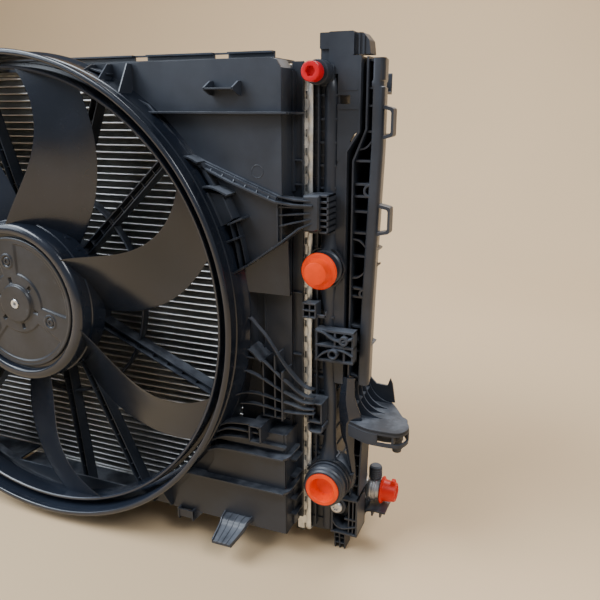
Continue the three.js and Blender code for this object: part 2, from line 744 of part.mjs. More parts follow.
// ---------------------------------------------------------------- side carrier
function carrier() {
  const back = CARRIER_BACK;
  const front = carrierFront;
  const step = 8.5;
  const top = carrierTop;
  const bend = [coreTop - 51, coreTop - 78];
  const low = coreBottom + 178;
  const inner = wallAlong([[carrierIn + step + 7, top], [carrierIn + step + 7, bend[0]],
    [carrierIn + 7, bend[1]], [carrierIn + 7, low]], WALL, back, front);
  const middle = wallAlong([[carrierIn + step + 14, top], [carrierIn + step + 14, bend[0]],
    [carrierIn + 14, bend[1]], [carrierIn + 14, low]], RIB, back + 3, front);
  const outside = [[carrierOut, back + 4], [carrierOut - CARRIER_LEAN, front]];
  const outer = alongZ(shapeOf([...outside,
    ...outside.map(([x, y]) => [x - WALL, y]).reverse()]), low, top - 1);
  const beyond = alongZ(shapeOf([...outside, [carrierOut - CARRIER_LEAN, front + 1],
    [carrierOut + 1, front + 1], [carrierOut + 1, back + 4]]), low - 1, top + 1);
  const outerLip = box(carrierOut - 10, carrierOut, back + 4, back + 4 + WALL, low, top - 1);
  const floor = box(carrierIn + 6, carrierOut, front - WALL, front, low, top);
  const plate = alongY(shapeOf([[carrierIn, top], [carrierIn + step + 8, top],
    [carrierIn + step + 8, bend[0]], [carrierIn + 8, bend[1]], [carrierIn + 8, low],
    [carrierIn, low]]), back, back + WALL);
  const ribs = [];
  const pitch = (top - low - RIB) / (CARRIER_RIBS - 1);
  for (let i = 0; i < CARRIER_RIBS; i += 1) {
    const z = low + i * pitch;
    const start = z > bend[0] ? carrierIn + step + 6 : carrierIn + 6;
    ribs.push(box(start, carrierOut - 1, back + 5, front - 1, z, z + RIB));
  }
  const block = cut(
    box(half + 6, carrierIn + step + 8.2, back, back + 30, top, coreTop + 25),
    box(half + 3, half + 14, back - 1, back + 31, top - 1, coreTop + 12),
  );
  const loops = [coreTop - 66, coreTop - 153].map((z) => cut(
    box(carrierOut - 6, carrierOut + LOOP_REACH, back + 6, back + 18, z, z + 30),
    box(carrierOut, carrierOut + LOOP_REACH - RIB, back + 5, back + 19, z + 3, z + 27),
  ));
  const window = box(carrierIn + 2, carrierIn + 12, back - 1, back + WALL + 1,
    coreTop - 34, coreTop - 26);
  const channel = cut(join(inner, middle, outer, outerLip, floor, plate, ribs, block), beyond);
  return cut(join(channel, loops), window);
}

// Shelf at the foot of the carrier that bolts to the car's side rail.
function wingBracket() {
  const z1 = wingTop;
  const shape = new THREE.Shape();
  shape.moveTo(carrierIn + 8, carrierFront);
  shape.lineTo(carrierIn + 8, CARRIER_BACK);
  shape.lineTo(half + 60, -24);
  shape.lineTo(half + 78, -30);
  shape.quadraticCurveTo(half + 102, -30, half + 103, -12);
  shape.quadraticCurveTo(half + 98, 20, half + 72, carrierFront + 14);
  shape.lineTo(half + 60, carrierFront + 20);
  const shelf = alongZ(shape, z1 - WALL, z1);
  const skirtOuter = alongZ(shape, z1 - 16, z1 - 1);
  const hole = shape.getPoints(6).map((point) => [
    half + 66 + (point.x - half - 66) * 0.9, 4 + (point.y - 4) * 0.9]);
  const skirt = cut(skirtOuter, alongZ(shapeOf(hole), z1 - 17, z1 - WALL));
  const neckLow = z1 - 1;
  const neckTop = coreBottom + 178 - GAP;
  const panel = wallAlong([[carrierIn + 9, neckTop], [carrierIn + 10, neckLow]],
    WALL, CARRIER_BACK, carrierFront - 4);
  const outerPanel = wallAlong([[carrierOut - 2, neckTop], [carrierOut + 2, z1 + 8],
    [carrierOut + 14, neckLow]], WALL, CARRIER_BACK + 6, carrierFront - 4);
  const webs = [0, 1, 2].map((i) => box(carrierIn + 9, carrierOut - 1,
    CARRIER_BACK + 14 + 15 * i, CARRIER_BACK + 16 + 15 * i, neckLow, neckTop));
  return join(shelf, skirt, panel, outerPanel, webs, carrierLeg());
}

// Swept guide from the carrier's foot down to the lower bracket.
const legLow = coreBottom + LEG_RISE;
const bracketFront = 8;

function carrierLeg() {
  const top = wingTop - 15;
  const low = legLow;
  const front = bracketFront + 8;
  const wall = (points, y0) => wallAlong(points, WALL, y0, front);
  const inner = wall([[carrierIn + 10, top], [carrierIn + 13, top - 22],
    [carrierIn + 21, top - 50], [carrierIn + 24, low]], CARRIER_BACK);
  const outer = wall([[carrierOut - 10, top], [carrierOut - 10, top - 30],
    [carrierIn + 26, low]], CARRIER_BACK + 8);
  const floor = alongY(shapeOf([[carrierIn + 10, top], [carrierOut - 10, top],
    [carrierOut - 10, top - 30], [carrierIn + 26, low], [carrierIn + 23, low],
    [carrierIn + 13, top - 22]]), front - WALL, front);
  return join(inner, outer, floor);
}

function isolator() {
  const top = wingTop - 16 - GAP;
  return turnedUpright([[0, top - 21], [4.5, top - 21], [6.2, top - 19], [6.2, top], [0, top]],
    20, half + 88, 4);
}

function lowerBracket() {
  const low = coreBottom + 8;
  const high = legLow - GAP;
  const block = box(carrierIn - 1, carrierIn + 28, -22, bracketFront, low, high);
  const slots = [0, 1].map((i) => box(carrierIn + 19, carrierIn + 29,
    -16 + 12 * i, -7 + 12 * i, low + 3, high - 3));
  const middle = half + 33;
  const peg = join(
    box(middle - 7, middle + 7, -2, 0, pegBottom, low + 1),
    box(middle - 7, middle - 5, -12, 10, pegBottom, low + 1),
    box(middle - 1, middle + 1, -12, 10, pegBottom, low + 1),
    box(middle + 5, middle + 7, -12, 10, pegBottom, low + 1),
  );
  const screwHole = disc(3.4, -23, -10, 16, half + 33, high - 10.5);
  return cut(join(cut(block, slots), peg), screwHole);
}

function bracketScrew() {
  const x = half + 33;
  const z = legLow - GAP - 10.5;
  return join(disc(6.6, -26, -22 - GAP, 20, x, z), disc(3, -23, -11, 16, x, z));
}

// ---------------------------------------------------------------- condenser side
const condenserLow = coreBottom + 42;
const condenserHigh = coreTop - 30;
const condenserEnd = half - 22;

function condenserCore() {
  return finnedSlab(condenserEnd, condenserFront, condenserBack, condenserLow, condenserHigh,
    CONDENSER_PITCH, TUBE_THICK);
}

function condenserHeader() {
  return turnedUpright([
    [0, condenserLow - 4], [8, condenserLow - 4], [CONDENSER_TUBE, condenserLow],
    [CONDENSER_TUBE, condenserHigh], [8, condenserHigh + 4], [0, condenserHigh + 4],
  ], 24, condenserEnd + GAP + CONDENSER_TUBE, condenserBack + CONDENSER_DEPTH / 2);
}

const drierX = -(condenserEnd + GAP + 2 * CONDENSER_TUBE + GAP + DRIER_RADIUS);

function receiverDrier() {
  const low = condenserLow + 30;
  return turnedUpright([
    [0, low], [9, low], [DRIER_RADIUS, low + 7], [DRIER_RADIUS, low + 243], [9, low + 252],
    [0, low + 252],
  ], 24, drierX, condenserBack + CONDENSER_DEPTH / 2 + 6);
}

// ---------------------------------------------------------------- refrigerant fitting
const fittingZ = coreBottom + FITTING_RISE;
const nutStart = half + 52;
const nutEnd = nutStart + 15;
const pipeStart = condenserEnd + GAP + 2 * CONDENSER_TUBE + GAP;

function turnedAcross(profile, segments, y, z) {
  const points = profile.map(([radius, x]) => new THREE.Vector2(radius, x));
  const geometry = new THREE.LatheGeometry(points, segments);
  geometry.rotateZ(-Math.PI / 2);
  geometry.translate(0, y, z);
  return solid(geometry);
}

// Pipe from the condenser's upright tube, bent back into a union nut and a threaded spigot.
function refrigerantFitting() {
  const middle = condenserBack + CONDENSER_DEPTH / 2;
  const path = new THREE.CatmullRomCurve3([
    [pipeStart, middle], [pipeStart + 16, middle], [pipeStart + 28, middle - 3],
    [pipeStart + 38, middle - 16], [nutStart - 6, FITTING_PLANE + 2], [nutStart + 2, FITTING_PLANE],
  ].map(([x, y]) => new THREE.Vector3(x, y, fittingZ)));
  const sides = Array.from({ length: 12 }, (_, i) => [
    8 * Math.cos(i * Math.PI / 6), 8 * Math.sin(i * Math.PI / 6)]);
  const pipe = solid(new THREE.ExtrudeGeometry(shapeOf(sides), {
    steps: 9, extrudePath: path, bevelEnabled: false,
  }));
  const nut = turnedAcross([[0, nutStart], [10, nutStart], [13.5, nutStart + 3],
    [13.5, nutEnd - 4], [12, nutEnd - 4], [12, nutEnd], [7, nutEnd], [7, nutEnd + 9],
    [0, nutEnd + 9]], 16, FITTING_PLANE, fittingZ);
  const stub = turnedUpright([[0, fittingZ], [4, fittingZ], [4, fittingZ + 17],
    [0, fittingZ + 17]], 12, nutStart + 8, FITTING_PLANE);
  const bore = turnedAcross([[0, nutEnd - 6], [4.5, nutEnd - 6], [4.5, nutEnd + 10],
    [0, nutEnd + 10]], 12, FITTING_PLANE, fittingZ);
  return cut(join(pipe, nut, stub), bore);
}

// Dust cap of the charging port on top of the fitting.
function servicePortCap() {
  const seat = fittingZ + 13.5 + GAP;
  const stubTop = fittingZ + 17 + GAP;
  return turnedUpright([[0, stubTop], [4 + GAP, stubTop], [4 + GAP, seat], [7.2, seat],
    [7.2, seat + 13], [5.5, seat + 15], [0, seat + 15]], 16, nutStart + 8, FITTING_PLANE);
}

function fittingCap() {
  const x = (distance) => nutEnd + GAP + distance;
  return turnedAcross([
    [0, x(17)], [10, x(17)], [12, x(2.5)], [15, x(2.5)], [15, x(0)], [7 + GAP, x(0)],
    [7 + GAP, x(9 + GAP)], [0, x(9 + GAP)],
  ], 20, FITTING_PLANE, fittingZ);
}

// ---------------------------------------------------------------- beams in front
// Lower beam: an open channel with an arm to each lower bracket and a strap under the fitting.
function lowerBeam() {
  const low = pegBottom;
  const back = condenserFront - 22;
  const end = carrierIn + 2;
  const channel = alongX(shapeOf([
    [back, low], [beamFront, low], [beamFront, low + 46], [beamFront - WALL, low + 46],
    [beamFront - WALL, low + WALL], [back + WALL, low + WALL], [back + WALL, low + 36],
    [back, low + 36],
  ]), -end, end);
  const parts = [channel];
  for (const side of [-1, 1]) {
    const [x0, x1] = side > 0 ? [end - 3, end + 20] : [-end - 20, -end + 3];
    parts.push(box(x0, x1, bracketFront + GAP, back + 1, coreBottom + 9, coreBottom + 18));
    const tab = side * (condenserEnd + GAP + CONDENSER_TUBE);
    parts.push(box(tab - 8, tab + 8, back, beamFront, low + 33, condenserLow - 4 - GAP));
  }
  const strap = wallAlong([[end + 17, coreBottom + 12], [end + 27, coreBottom + 20],
    [end + 47, coreBottom + 21]], WALL, bracketFront + 4, back - 6);
  return join(parts, strap);
}

// Upper beam: a shallow channel across the condenser with an arm to each carrier.
function upperBeam() {
  const low = condenserHigh + 4 + GAP;
  const high = low + 20;
  const back = condenserBack;
  const front = condenserFront + 6;
  const end = carrierOut - CARRIER_LEAN - 3;
  const channel = alongX(shapeOf([
    [back, low], [front, low], [front, high], [front - WALL, high], [front - WALL, low + WALL],
    [back + WALL, low + WALL], [back + WALL, high], [back, high],
  ]), -end, end);
  const arms = [-1, 1].map((side) => {
    const [x0, x1] = side > 0 ? [carrierIn + 12, end] : [-end, -carrierIn - 12];
    return box(x0, x1, carrierFront + GAP, back + 1, low, high);
  });
  return join(channel, arms);
}

// ---------------------------------------------------------------- assembly
addPart('radiator_core', radiatorCore(), FIN_ALUMINIUM);
addPart('core_side_plate_top', sidePlate(true), PLATE_ALUMINIUM);
addPart('core_side_plate_bottom', sidePlate(false), PLATE_ALUMINIUM);
addPair('header_plate', header(), PLATE_ALUMINIUM);
addPair('tank_gasket', gasket(), RUBBER);
addPart('end_tank_right', tankRight(), TANK_PLASTIC);
addPart('end_tank_left', tankLeft(), TANK_PLASTIC);
addPart('drain_tap', drainTap(), TANK_PLASTIC);
addPart('upper_port_clip', portClip(upperPort, 18.5, clipBack - 1.5), BRIGHT_STEEL);
addPart('lower_port_clip', portClip(lowerPort, LOWER_NECK, clipBack - 5), BRIGHT_STEEL);
addPart('upper_port_cap', transportCup(upperPort, upperNeckEnd + 4, -1), ORANGE_CAP);
addPart('lower_port_plug', transportCup(lowerPort, lowerNeckEnd - GAP - 2, 1), ORANGE_CAP);
addPart('bleed_port_cap', bleedCap(), RED_CAP);

addPart('fan', fan(), GLOSS_PLASTIC);
addPart('rotor_cover', rotorCover(), MOTOR_STEEL);
screwPlaces().forEach((place, i) =>
  addPart(`rotor_screw_${i + 1}`, rotorScrew(place), BRIGHT_STEEL));
addPart('rotor_can', rotorCan(), MOTOR_STEEL);
addPart('magnet_ring', magnetRing(), MOTOR_STEEL);
addPart('motor_shaft', motorShaft(), BRIGHT_STEEL);
addPart('shaft_bearing_rear', bearing(canFace + 8), BRIGHT_STEEL);
addPart('shaft_bearing_front', bearing(baseBack - 9), BRIGHT_STEEL);
addPart('stator_winding', statorWinding(), COPPER);
addPart('motor_base', motorBase(), MOTOR_STEEL);
addPart('fan_controller', fanController(), MOTOR_STEEL);
addPart('controller_socket', controllerSocket(), SATIN_PLASTIC);
addPart('motor_spider', motorSpider(), SATIN_PLASTIC);
addPart('fan_shroud', fanShroud(), SATIN_PLASTIC);
addPair('shroud_tongue', shroudTongue(), SATIN_PLASTIC);

addPair('shroud_latch_upper', latchBlock(half + 1, half + 26, -44, coreTop - 151, coreTop - 113),
  SATIN_PLASTIC);
addPair('shroud_latch_lower', lowerLatch(), SATIN_PLASTIC);
addPart('cable_clip', cableClip(), SATIN_PLASTIC);
addPair('tank_bracket', tankBracket(), SATIN_PLASTIC);
addPair('side_carrier', carrier(), SATIN_PLASTIC);
addPair('wing_bracket', wingBracket(), SATIN_PLASTIC);
addPair('wing_isolator', isolator(), RUBBER);
addPair('lower_bracket', lowerBracket(), SATIN_PLASTIC);
addPair('bracket_screw', bracketScrew(), BRIGHT_STEEL);

addPart('condenser_core', condenserCore(), FIN_ALUMINIUM);
addPair('condenser_tube', condenserHeader(), PLATE_ALUMINIUM);
addPart('receiver_drier', receiverDrier(), PLATE_ALUMINIUM);
addPart('refrigerant_fitting', refrigerantFitting(), PLATE_ALUMINIUM);
addPart('service_port_cap', servicePortCap(), SATIN_PLASTIC);
addPart('fitting_cap', fittingCap(), RED_CAP);
addPart('lower_beam', lowerBeam(), SATIN_PLASTIC);
addPart('upper_beam', upperBeam(), SATIN_PLASTIC);

// The origin goes to the middle of the footprint, at the height it stands on.
const bounds = new THREE.Box3().setFromObject(model);
const middle = bounds.getCenter(new THREE.Vector3());
model.position.set(-middle.x, -middle.y, -bounds.min.z);
model.updateMatrixWorld(true);

export default model;
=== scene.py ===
"""The looks of a car's engine cooling module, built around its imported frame.

Lengths are millimetres from the module's middle, which lies on the fan axis at the engine side
of the core: X to the right seen from the engine, Y towards the front of the car, Z up.
"""
import json
import math

import bpy
import numpy as np
from bpy.props import FloatProperty, FloatVectorProperty, IntProperty, PointerProperty
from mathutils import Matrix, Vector


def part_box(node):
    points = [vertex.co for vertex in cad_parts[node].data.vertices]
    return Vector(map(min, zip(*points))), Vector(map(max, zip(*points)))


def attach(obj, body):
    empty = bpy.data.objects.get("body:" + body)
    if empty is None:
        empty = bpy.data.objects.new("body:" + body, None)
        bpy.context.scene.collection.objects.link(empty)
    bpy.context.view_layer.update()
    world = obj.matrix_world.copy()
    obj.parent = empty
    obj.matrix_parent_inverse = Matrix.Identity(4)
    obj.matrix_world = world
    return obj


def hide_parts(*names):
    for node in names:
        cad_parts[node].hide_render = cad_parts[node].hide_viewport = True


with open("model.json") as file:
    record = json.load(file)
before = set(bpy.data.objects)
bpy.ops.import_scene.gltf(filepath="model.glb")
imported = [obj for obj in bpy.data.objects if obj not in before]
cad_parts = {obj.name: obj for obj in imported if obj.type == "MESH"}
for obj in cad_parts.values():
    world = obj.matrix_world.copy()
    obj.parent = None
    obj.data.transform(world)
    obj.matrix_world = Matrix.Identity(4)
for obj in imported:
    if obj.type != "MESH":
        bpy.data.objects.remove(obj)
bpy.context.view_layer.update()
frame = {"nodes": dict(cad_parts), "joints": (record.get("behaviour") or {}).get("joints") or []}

bl_info = {
    "name": "Car radiator module",
    "version": (1, 0, 0),
    "blender": (4, 5, 0),
    "location": "View3D > Sidebar > Radiator",
    "description": "Builds a car's radiator, ring fan, shroud and side carriers around their frame",
    "category": "Add Mesh",
}

MM = 0.001


def joint(name):
    return next(j for j in frame["joints"] if j["name"] == name)


FAN_AXIS = joint("fan_spin")["pos_m"]
MIDDLE = np.array([FAN_AXIS[0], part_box("radiator_core")[0].y, FAN_AXIS[2]])


def span(node):
    """Lowest and highest corner of a CAD node, in millimetres from the middle."""
    low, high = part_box(node)
    return (np.array(low) - MIDDLE) / MM, (np.array(high) - MIDDLE) / MM


CORE_LOW, CORE_HIGH = span("radiator_core")
HEADER_LOW, HEADER_HIGH = span("header_plate_right")
TANK_LOW = span("end_tank_right")[0]
SHROUD_LOW = span("fan_shroud")[0]
FAN_LOW = span("fan")[0]

# Fan and collar, as on the frame.
FAN_RADIUS = 236
FAN_BLADES = 7
BLADE_START = 76.5
BLADE_TURN = 8.3
HUB_RADIUS = 85.2
HUB_FACE = FAN_LOW[1]
HUB_BACK = HUB_FACE + 38.5
RING_INSIDE = 232.6
RING_FACE = -83
RING_BACK = RING_FACE + 21
COVER_FACE = HUB_FACE + 3.5
COLLAR_INSIDE = 245
COLLAR_OUTSIDE = 248
COLLAR_FACE = SHROUD_LOW[1]
SCREW_ANGLES = (-21, 99, 219)
SCREW_CIRCLE = 45

# Shroud faces, the depth its ribs are rooted at, and the radius of the opening in its panel.
FACE = -50
ROOT = FACE + 1
THROAT = 246.4
POCKET_FLOOR = -27
FLANGE_FACE = -21
SHROUD_SIDE = 285
SHROUD_TOP = 238
SHROUD_BOTTOM = -232
SHELL = 2.5

# Coolant ports: x, z.
UPPER_PORT = (317, 51)
LOWER_PORT = (324.5, -173.5)
BLEED_PORT = (310.5, 226)
DRAIN_PORT = (314, HEADER_LOW[2] + 24)


# ------------------------------------------------------------------------------ shapes
def net(rows, columns, close_rows=False, close_columns=False):
    """Four-sided faces between neighbouring points of a grid."""
    i = np.arange(rows if close_rows else rows - 1)
    j = np.arange(columns if close_columns else columns - 1)
    i, j = np.meshgrid(i, j, indexing="ij")
    after_i = (i + 1) % rows
    after_j = (j + 1) % columns
    corners = (i * columns + j, after_i * columns + j,
               after_i * columns + after_j, i * columns + after_j)
    return np.stack(corners, axis=-1).reshape(-1, 4)


def spread(flat, along, axis):
    """Points with two coordinates across an axis and one along it."""
    flat = np.asarray(flat, float)
    a, b = flat[..., 0], flat[..., 1]
    order = {"x": (along, a, b), "y": (a, along, b), "z": (a, b, along)}[axis]
    return np.stack(np.broadcast_arrays(*order), axis=-1).astype(float)


def arc(centre, radius, start, end, steps):
    """Points on a circle from one angle to another, in degrees."""
    turn = np.radians(np.linspace(start, end, steps + 1))
    return np.stack([centre[0] + radius * np.cos(turn), centre[1] + radius * np.sin(turn)], axis=1)


def rounded(outline, radius, steps):
    """A closed outline whose corners become parabolas that start a radius before each corner."""
    here = np.asarray(outline, float)
    before, after = np.roll(here, 1, axis=0), np.roll(here, -1, axis=0)
    t = np.linspace(0, 1, steps + 1)[None, :, None]

    def towards(other):
        gap = other - here
        length = np.linalg.norm(gap, axis=1, keepdims=True)
        return here + gap / length * np.minimum(radius, length * 0.49)

    start, end = towards(before)[:, None], towards(after)[:, None]
    curve = (1 - t) ** 2 * start + 2 * t * (1 - t) * here[:, None] + t ** 2 * end
    return curve.reshape(-1, 2)


def smooth(points, steps):
    """Catmull-Rom curve through a list of points, with a number of steps to each stretch."""
    points = np.asarray(points, float)
    ends = np.vstack([2 * points[0] - points[1], points, 2 * points[-1] - points[-2]])
    a, b, c, d = (ends[k:len(ends) - 3 + k, None] for k in range(4))
    t = (np.arange(steps) / steps)[None, :, None]
    curve = b + 0.5 * t * (c - a + t * (2 * a - 5 * b + 4 * c - d + t * (3 * (b - c) + d - a)))
    return np.vstack([curve.reshape(-1, points.shape[1]), points[-1:]])


def heading(degrees):
    """Unit vectors along a direction and square to it."""
    angle = math.radians(degrees)
    way = np.array([math.cos(angle), math.sin(angle)])
    return way, np.array([-way[1], way[0]])


def beside(line, thickness):
    """The two lines half a thickness to either side of a line, mitred where it bends."""
    step = np.diff(line, axis=0)
    step /= np.linalg.norm(step, axis=1, keepdims=True)
    after = np.vstack([step, step[-1:]])
    along = np.vstack([step[:1], step]) + after
    along /= np.linalg.norm(along, axis=1, keepdims=True)
    reach = thickness / 2 / np.maximum(0.5, (along * after).sum(axis=1))
    across = np.stack([-along[:, 1], along[:, 0]], axis=1) * reach[:, None]
    return line + across, line - across


class Shape:
    """Closed bodies gathered into one piece."""

    def __init__(self):
        self.points = []
        self.faces = []
        self.total = 0

    def add(self, points, *faces):
        """A closed body; faces that enclose a negative volume are turned round."""
        points = np.asarray(points, float).reshape(-1, 3)
        centred = points - points.mean(axis=0)
        volume = 0.0
        for rows in faces:
            corner = centred[rows]
            for k in range(1, rows.shape[1] - 1):
                volume += (corner[:, 0] * np.cross(corner[:, k], corner[:, k + 1])).sum()
        for rows in faces:
            self.faces.append((rows if volume > 0 else rows[:, ::-1]) + self.total)
        self.points.append(points)
        self.total += len(points)
        return self

    def tube(self, sections, closed=False):
        """Closed sections one after another along a path, capped unless the path closes."""
        sections = np.asarray(sections, float)
        count, corners = sections.shape[:2]
        faces = [net(count, corners, closed, True)]
        if not closed:
            end = np.arange(corners)
            faces.append(np.stack([end, end[::-1] + (count - 1) * corners]))
        return self.add(sections, *faces)

    def prism(self, outline, start, end, axis="y"):
        """A flat outline carried straight along an axis."""
        return self.tube([spread(outline, start, axis), spread(outline, end, axis)])

    def block(self, x0, x1, y0, y1, z0, z1):
        return self.prism([(x0, z0), (x1, z0), (x1, z1), (x0, z1)], y0, y1)

    def turned(self, profile, centre=(0, 0), axis="y", segments=48):
        """A profile of (radius, distance along the axis) carried round the axis.
        Where it starts and ends on the axis, one point closes it at each end."""
        profile = np.asarray(profile, float)
        poles = profile[0, 0] == 0
        wall = profile[1:-1] if poles else profile
        turn = np.linspace(0, 2 * np.pi, segments, endpoint=False)[:, None]
        circle = np.stack([centre[0] + wall[:, 0] * np.cos(turn),
                           centre[1] + wall[:, 0] * np.sin(turn)], axis=-1)
        points = spread(circle, wall[:, 1][None, :], axis).reshape(-1, 3)
        count = len(wall)
        faces = [net(segments, count, True, not poles)]
        if poles:
            points = np.vstack([points, spread([centre], profile[0, 1], axis),
                                spread([centre], profile[-1, 1], axis)])
            here = np.arange(segments) * count
            after = np.roll(here, -1)
            first = np.full(segments, segments * count)
            faces.append(np.stack([after, here, first], axis=1))
            faces.append(np.stack([here + count - 1, after + count - 1, first + 1], axis=1))
        return self.add(points, *faces)

    def ring(self, inside, outside, y0, y1, centre=(0, 0), segments=48, soft=0.4):
        outline = rounded([(inside, y0), (outside, y0), (outside, y1), (inside, y1)], soft, 2)
        return self.turned(outline, centre, segments=segments)

    def rib(self, line, front, back, thickness, draft=0.8, axis="y"):
        """A moulded wall along a line, thinner at its front edge. front and back are single
        values or one for each point of the line."""
        line = np.asarray(line, float)
        thin = beside(line, thickness * draft)
        thick = beside(line, thickness)
        sections = np.stack([spread(thin[0], front, axis), spread(thin[1], front, axis),
                             spread(thick[1], back, axis), spread(thick[0], back, axis)], axis=1)
        return self.tube(sections)

    def pipe(self, path, radius, sides, closed=False):
        """A circle carried along a path, kept square to it and turned as little as possible."""
        path = np.asarray(path, float)
        step = np.roll(path, -1, axis=0) - np.roll(path, 1, axis=0)
        if not closed:
            step[0], step[-1] = path[1] - path[0], path[-1] - path[-2]
        step /= np.linalg.norm(step, axis=1, keepdims=True)
        across = np.empty_like(step)
        side = np.cross(step[0], np.eye(3)[np.argmin(np.abs(step[0]))])
        for k, direction in enumerate(step):
            side = side - direction * side.dot(direction)
            side /= np.linalg.norm(side)
            across[k] = side
        other = np.cross(step, across)
        turn = np.linspace(0, 2 * np.pi, sides, endpoint=False)[None, :, None]
        radius = np.broadcast_to(np.asarray(radius, float), len(path))[:, None, None]
        circle = np.cos(turn) * across[:, None] + np.sin(turn) * other[:, None]
        return self.tube(path[:, None] + radius * circle, closed)

    def mirrored(self):
        """The same bodies on the other side of the module."""
        other = Shape()
        other.points = [points * (-1, 1, 1) for points in self.points]
        other.faces = [rows[:, ::-1] for rows in self.faces]
        other.total = self.total
        return other


def build(name, shape, look, slot, nodes=(), body="module", *, soft, sharp=35):
    """Makes a piece of a shape, rounds its edges by soft millimetres and puts it on its body."""
    mesh = bpy.data.meshes.new(name)
    points = np.vstack(shape.points) * MM + MIDDLE
    faces = [row for rows in shape.faces for row in rows.tolist()]
    mesh.from_pydata(points.tolist(), [], faces)
    mesh.polygons.foreach_set("use_smooth", np.ones(len(faces), bool))
    mesh.set_sharp_from_angle(angle=math.radians(sharp))
    mesh.materials.append(look)
    piece = bpy.data.objects.new(name, mesh)
    bpy.context.scene.collection.objects.link(piece)
    if soft:
        bevel = piece.modifiers.new("soft_edges", "BEVEL")
        bevel.width = soft * MM
        bevel.segments = 2
        bevel.limit_method = "ANGLE"
        bevel.angle_limit = math.radians(sharp)
        bevel.harden_normals = True
    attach(piece, body)
    if nodes:
        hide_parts(*nodes)
    return piece


def build_pair(name, shape, look, slot, nodes, **settings):
    """The piece on the right and its mirror image on the left."""
    for side, half in (("right", shape), ("left", shape.mirrored())):
        build(f"{name}_{side}", half, look, slot, [f"{node}_{side}" for node in nodes], **settings)


def paint(look, *nodes):
    """Gives CAD nodes whose shape is right their material."""
    for node in nodes:
        mesh = frame["nodes"][node].data
        mesh.materials.clear()
        mesh.materials.append(look)


# ------------------------------------------------------------------------------ materials
class Wire:
    """A socket; sums and products on it add Math nodes."""

    def __init__(self, paints, socket):
        self.paints = paints
        self.socket = socket

    def math(self, operation, first, second):
        return self.paints.node("ShaderNodeMath", {"operation": operation}, {0: first, 1: second})

    def __add__(self, other):
        return self.math("ADD", self, other)

    def __rsub__(self, other):
        return self.math("SUBTRACT", other, self)

    def __mul__(self, other):
        return self.math("MULTIPLY", self, other)

    __radd__ = __add__
    __rmul__ = __mul__


class Finish:
    """One material's nodes, patterned on Object coordinates."""

    def __init__(self, name, metallic=0.0, specular=0.5, subsurface=0.0):
        self.material = bpy.data.materials.new(name)
        self.material.use_nodes = True
        self.tree = self.material.node_tree
        self.shader = self.tree.nodes["Principled BSDF"]
        self.shader.inputs["Metallic"].default_value = metallic
        self.shader.inputs["Specular IOR Level"].default_value = specular
        self.shader.inputs["Subsurface Weight"].default_value = subsurface
        self.place = self.node("ShaderNodeTexCoord", output="Object")

    def node(self, kind, settings=(), inputs=(), output=0):
        """Adds a node: its settings first, then the values or links of its sockets."""
        made = self.tree.nodes.new(kind)
        for key, value in dict(settings).items():
            setattr(made, key, value)
        for key, value in dict(inputs).items():
            self.plug(made.inputs[key], value)
        return Wire(self, made.outputs[output])

    def plug(self, socket, value):
        if isinstance(value, Wire):
            self.tree.links.new(value.socket, socket)
        else:
            socket.default_value = value

    def stretched(self, scale):
        """Object coordinates squeezed along each axis."""
        return self.node("ShaderNodeMapping", {}, {"Vector": self.place, "Scale": scale})

    def noise(self, per_metre, detail, roughness, stretch=None):
        where = self.stretched(stretch) if stretch else self.place
        return self.node("ShaderNodeTexNoise", {}, {
            "Vector": where, "Scale": per_metre, "Detail": detail, "Roughness": roughness}, "Fac")

    def cells(self, per_metre):
        return self.node("ShaderNodeTexVoronoi", {"feature": "F1"}, {
            "Vector": self.place, "Scale": per_metre}, "Distance")

    def between(self, value, low, high):
        """0 below low, 1 above high and smooth between them."""
        return self.node("ShaderNodeMapRange", {"interpolation_type": "SMOOTHSTEP"}, {
            "Value": value, "From Min": low, "From Max": high})

    def mix(self, first, second, share):
        """Two colours mixed by a share from 0 to 1."""
        return self.node("ShaderNodeMix", {"data_type": "RGBA"}, {
            0: share, 6: self.solid(first), 7: self.solid(second)}, 2)

    @staticmethod
    def solid(colour):
        return colour if isinstance(colour, Wire) or len(colour) == 4 else (*colour, 1)

    def upward(self):
        """1 on faces that look up, 0 on the rest."""
        normal = self.node("ShaderNodeTexCoord", output="Normal")
        up = self.node("ShaderNodeSeparateXYZ", {}, {0: normal}, "Z")
        return self.between(up, 0.3, 0.95)

    def relief(self, height, depth_mm, strength):
        """Raises the surface by height times a depth, in shading only."""
        bump = self.node("ShaderNodeBump", {}, {
            "Height": height, "Distance": depth_mm * MM, "Strength": strength}, "Normal")
        self.plug(self.shader.inputs["Normal"], bump)

    def done(self, **sockets):
        names = {"colour": "Base Color", "roughness": "Roughness", "metallic": "Metallic"}
        for key, value in sockets.items():
            value = self.solid(value) if key == "colour" else value
            self.plug(self.shader.inputs[names[key]], value)
        return self.material


def shade(colour, factor):
    return tuple(min(1.0, channel * factor) for channel in colour[:3])


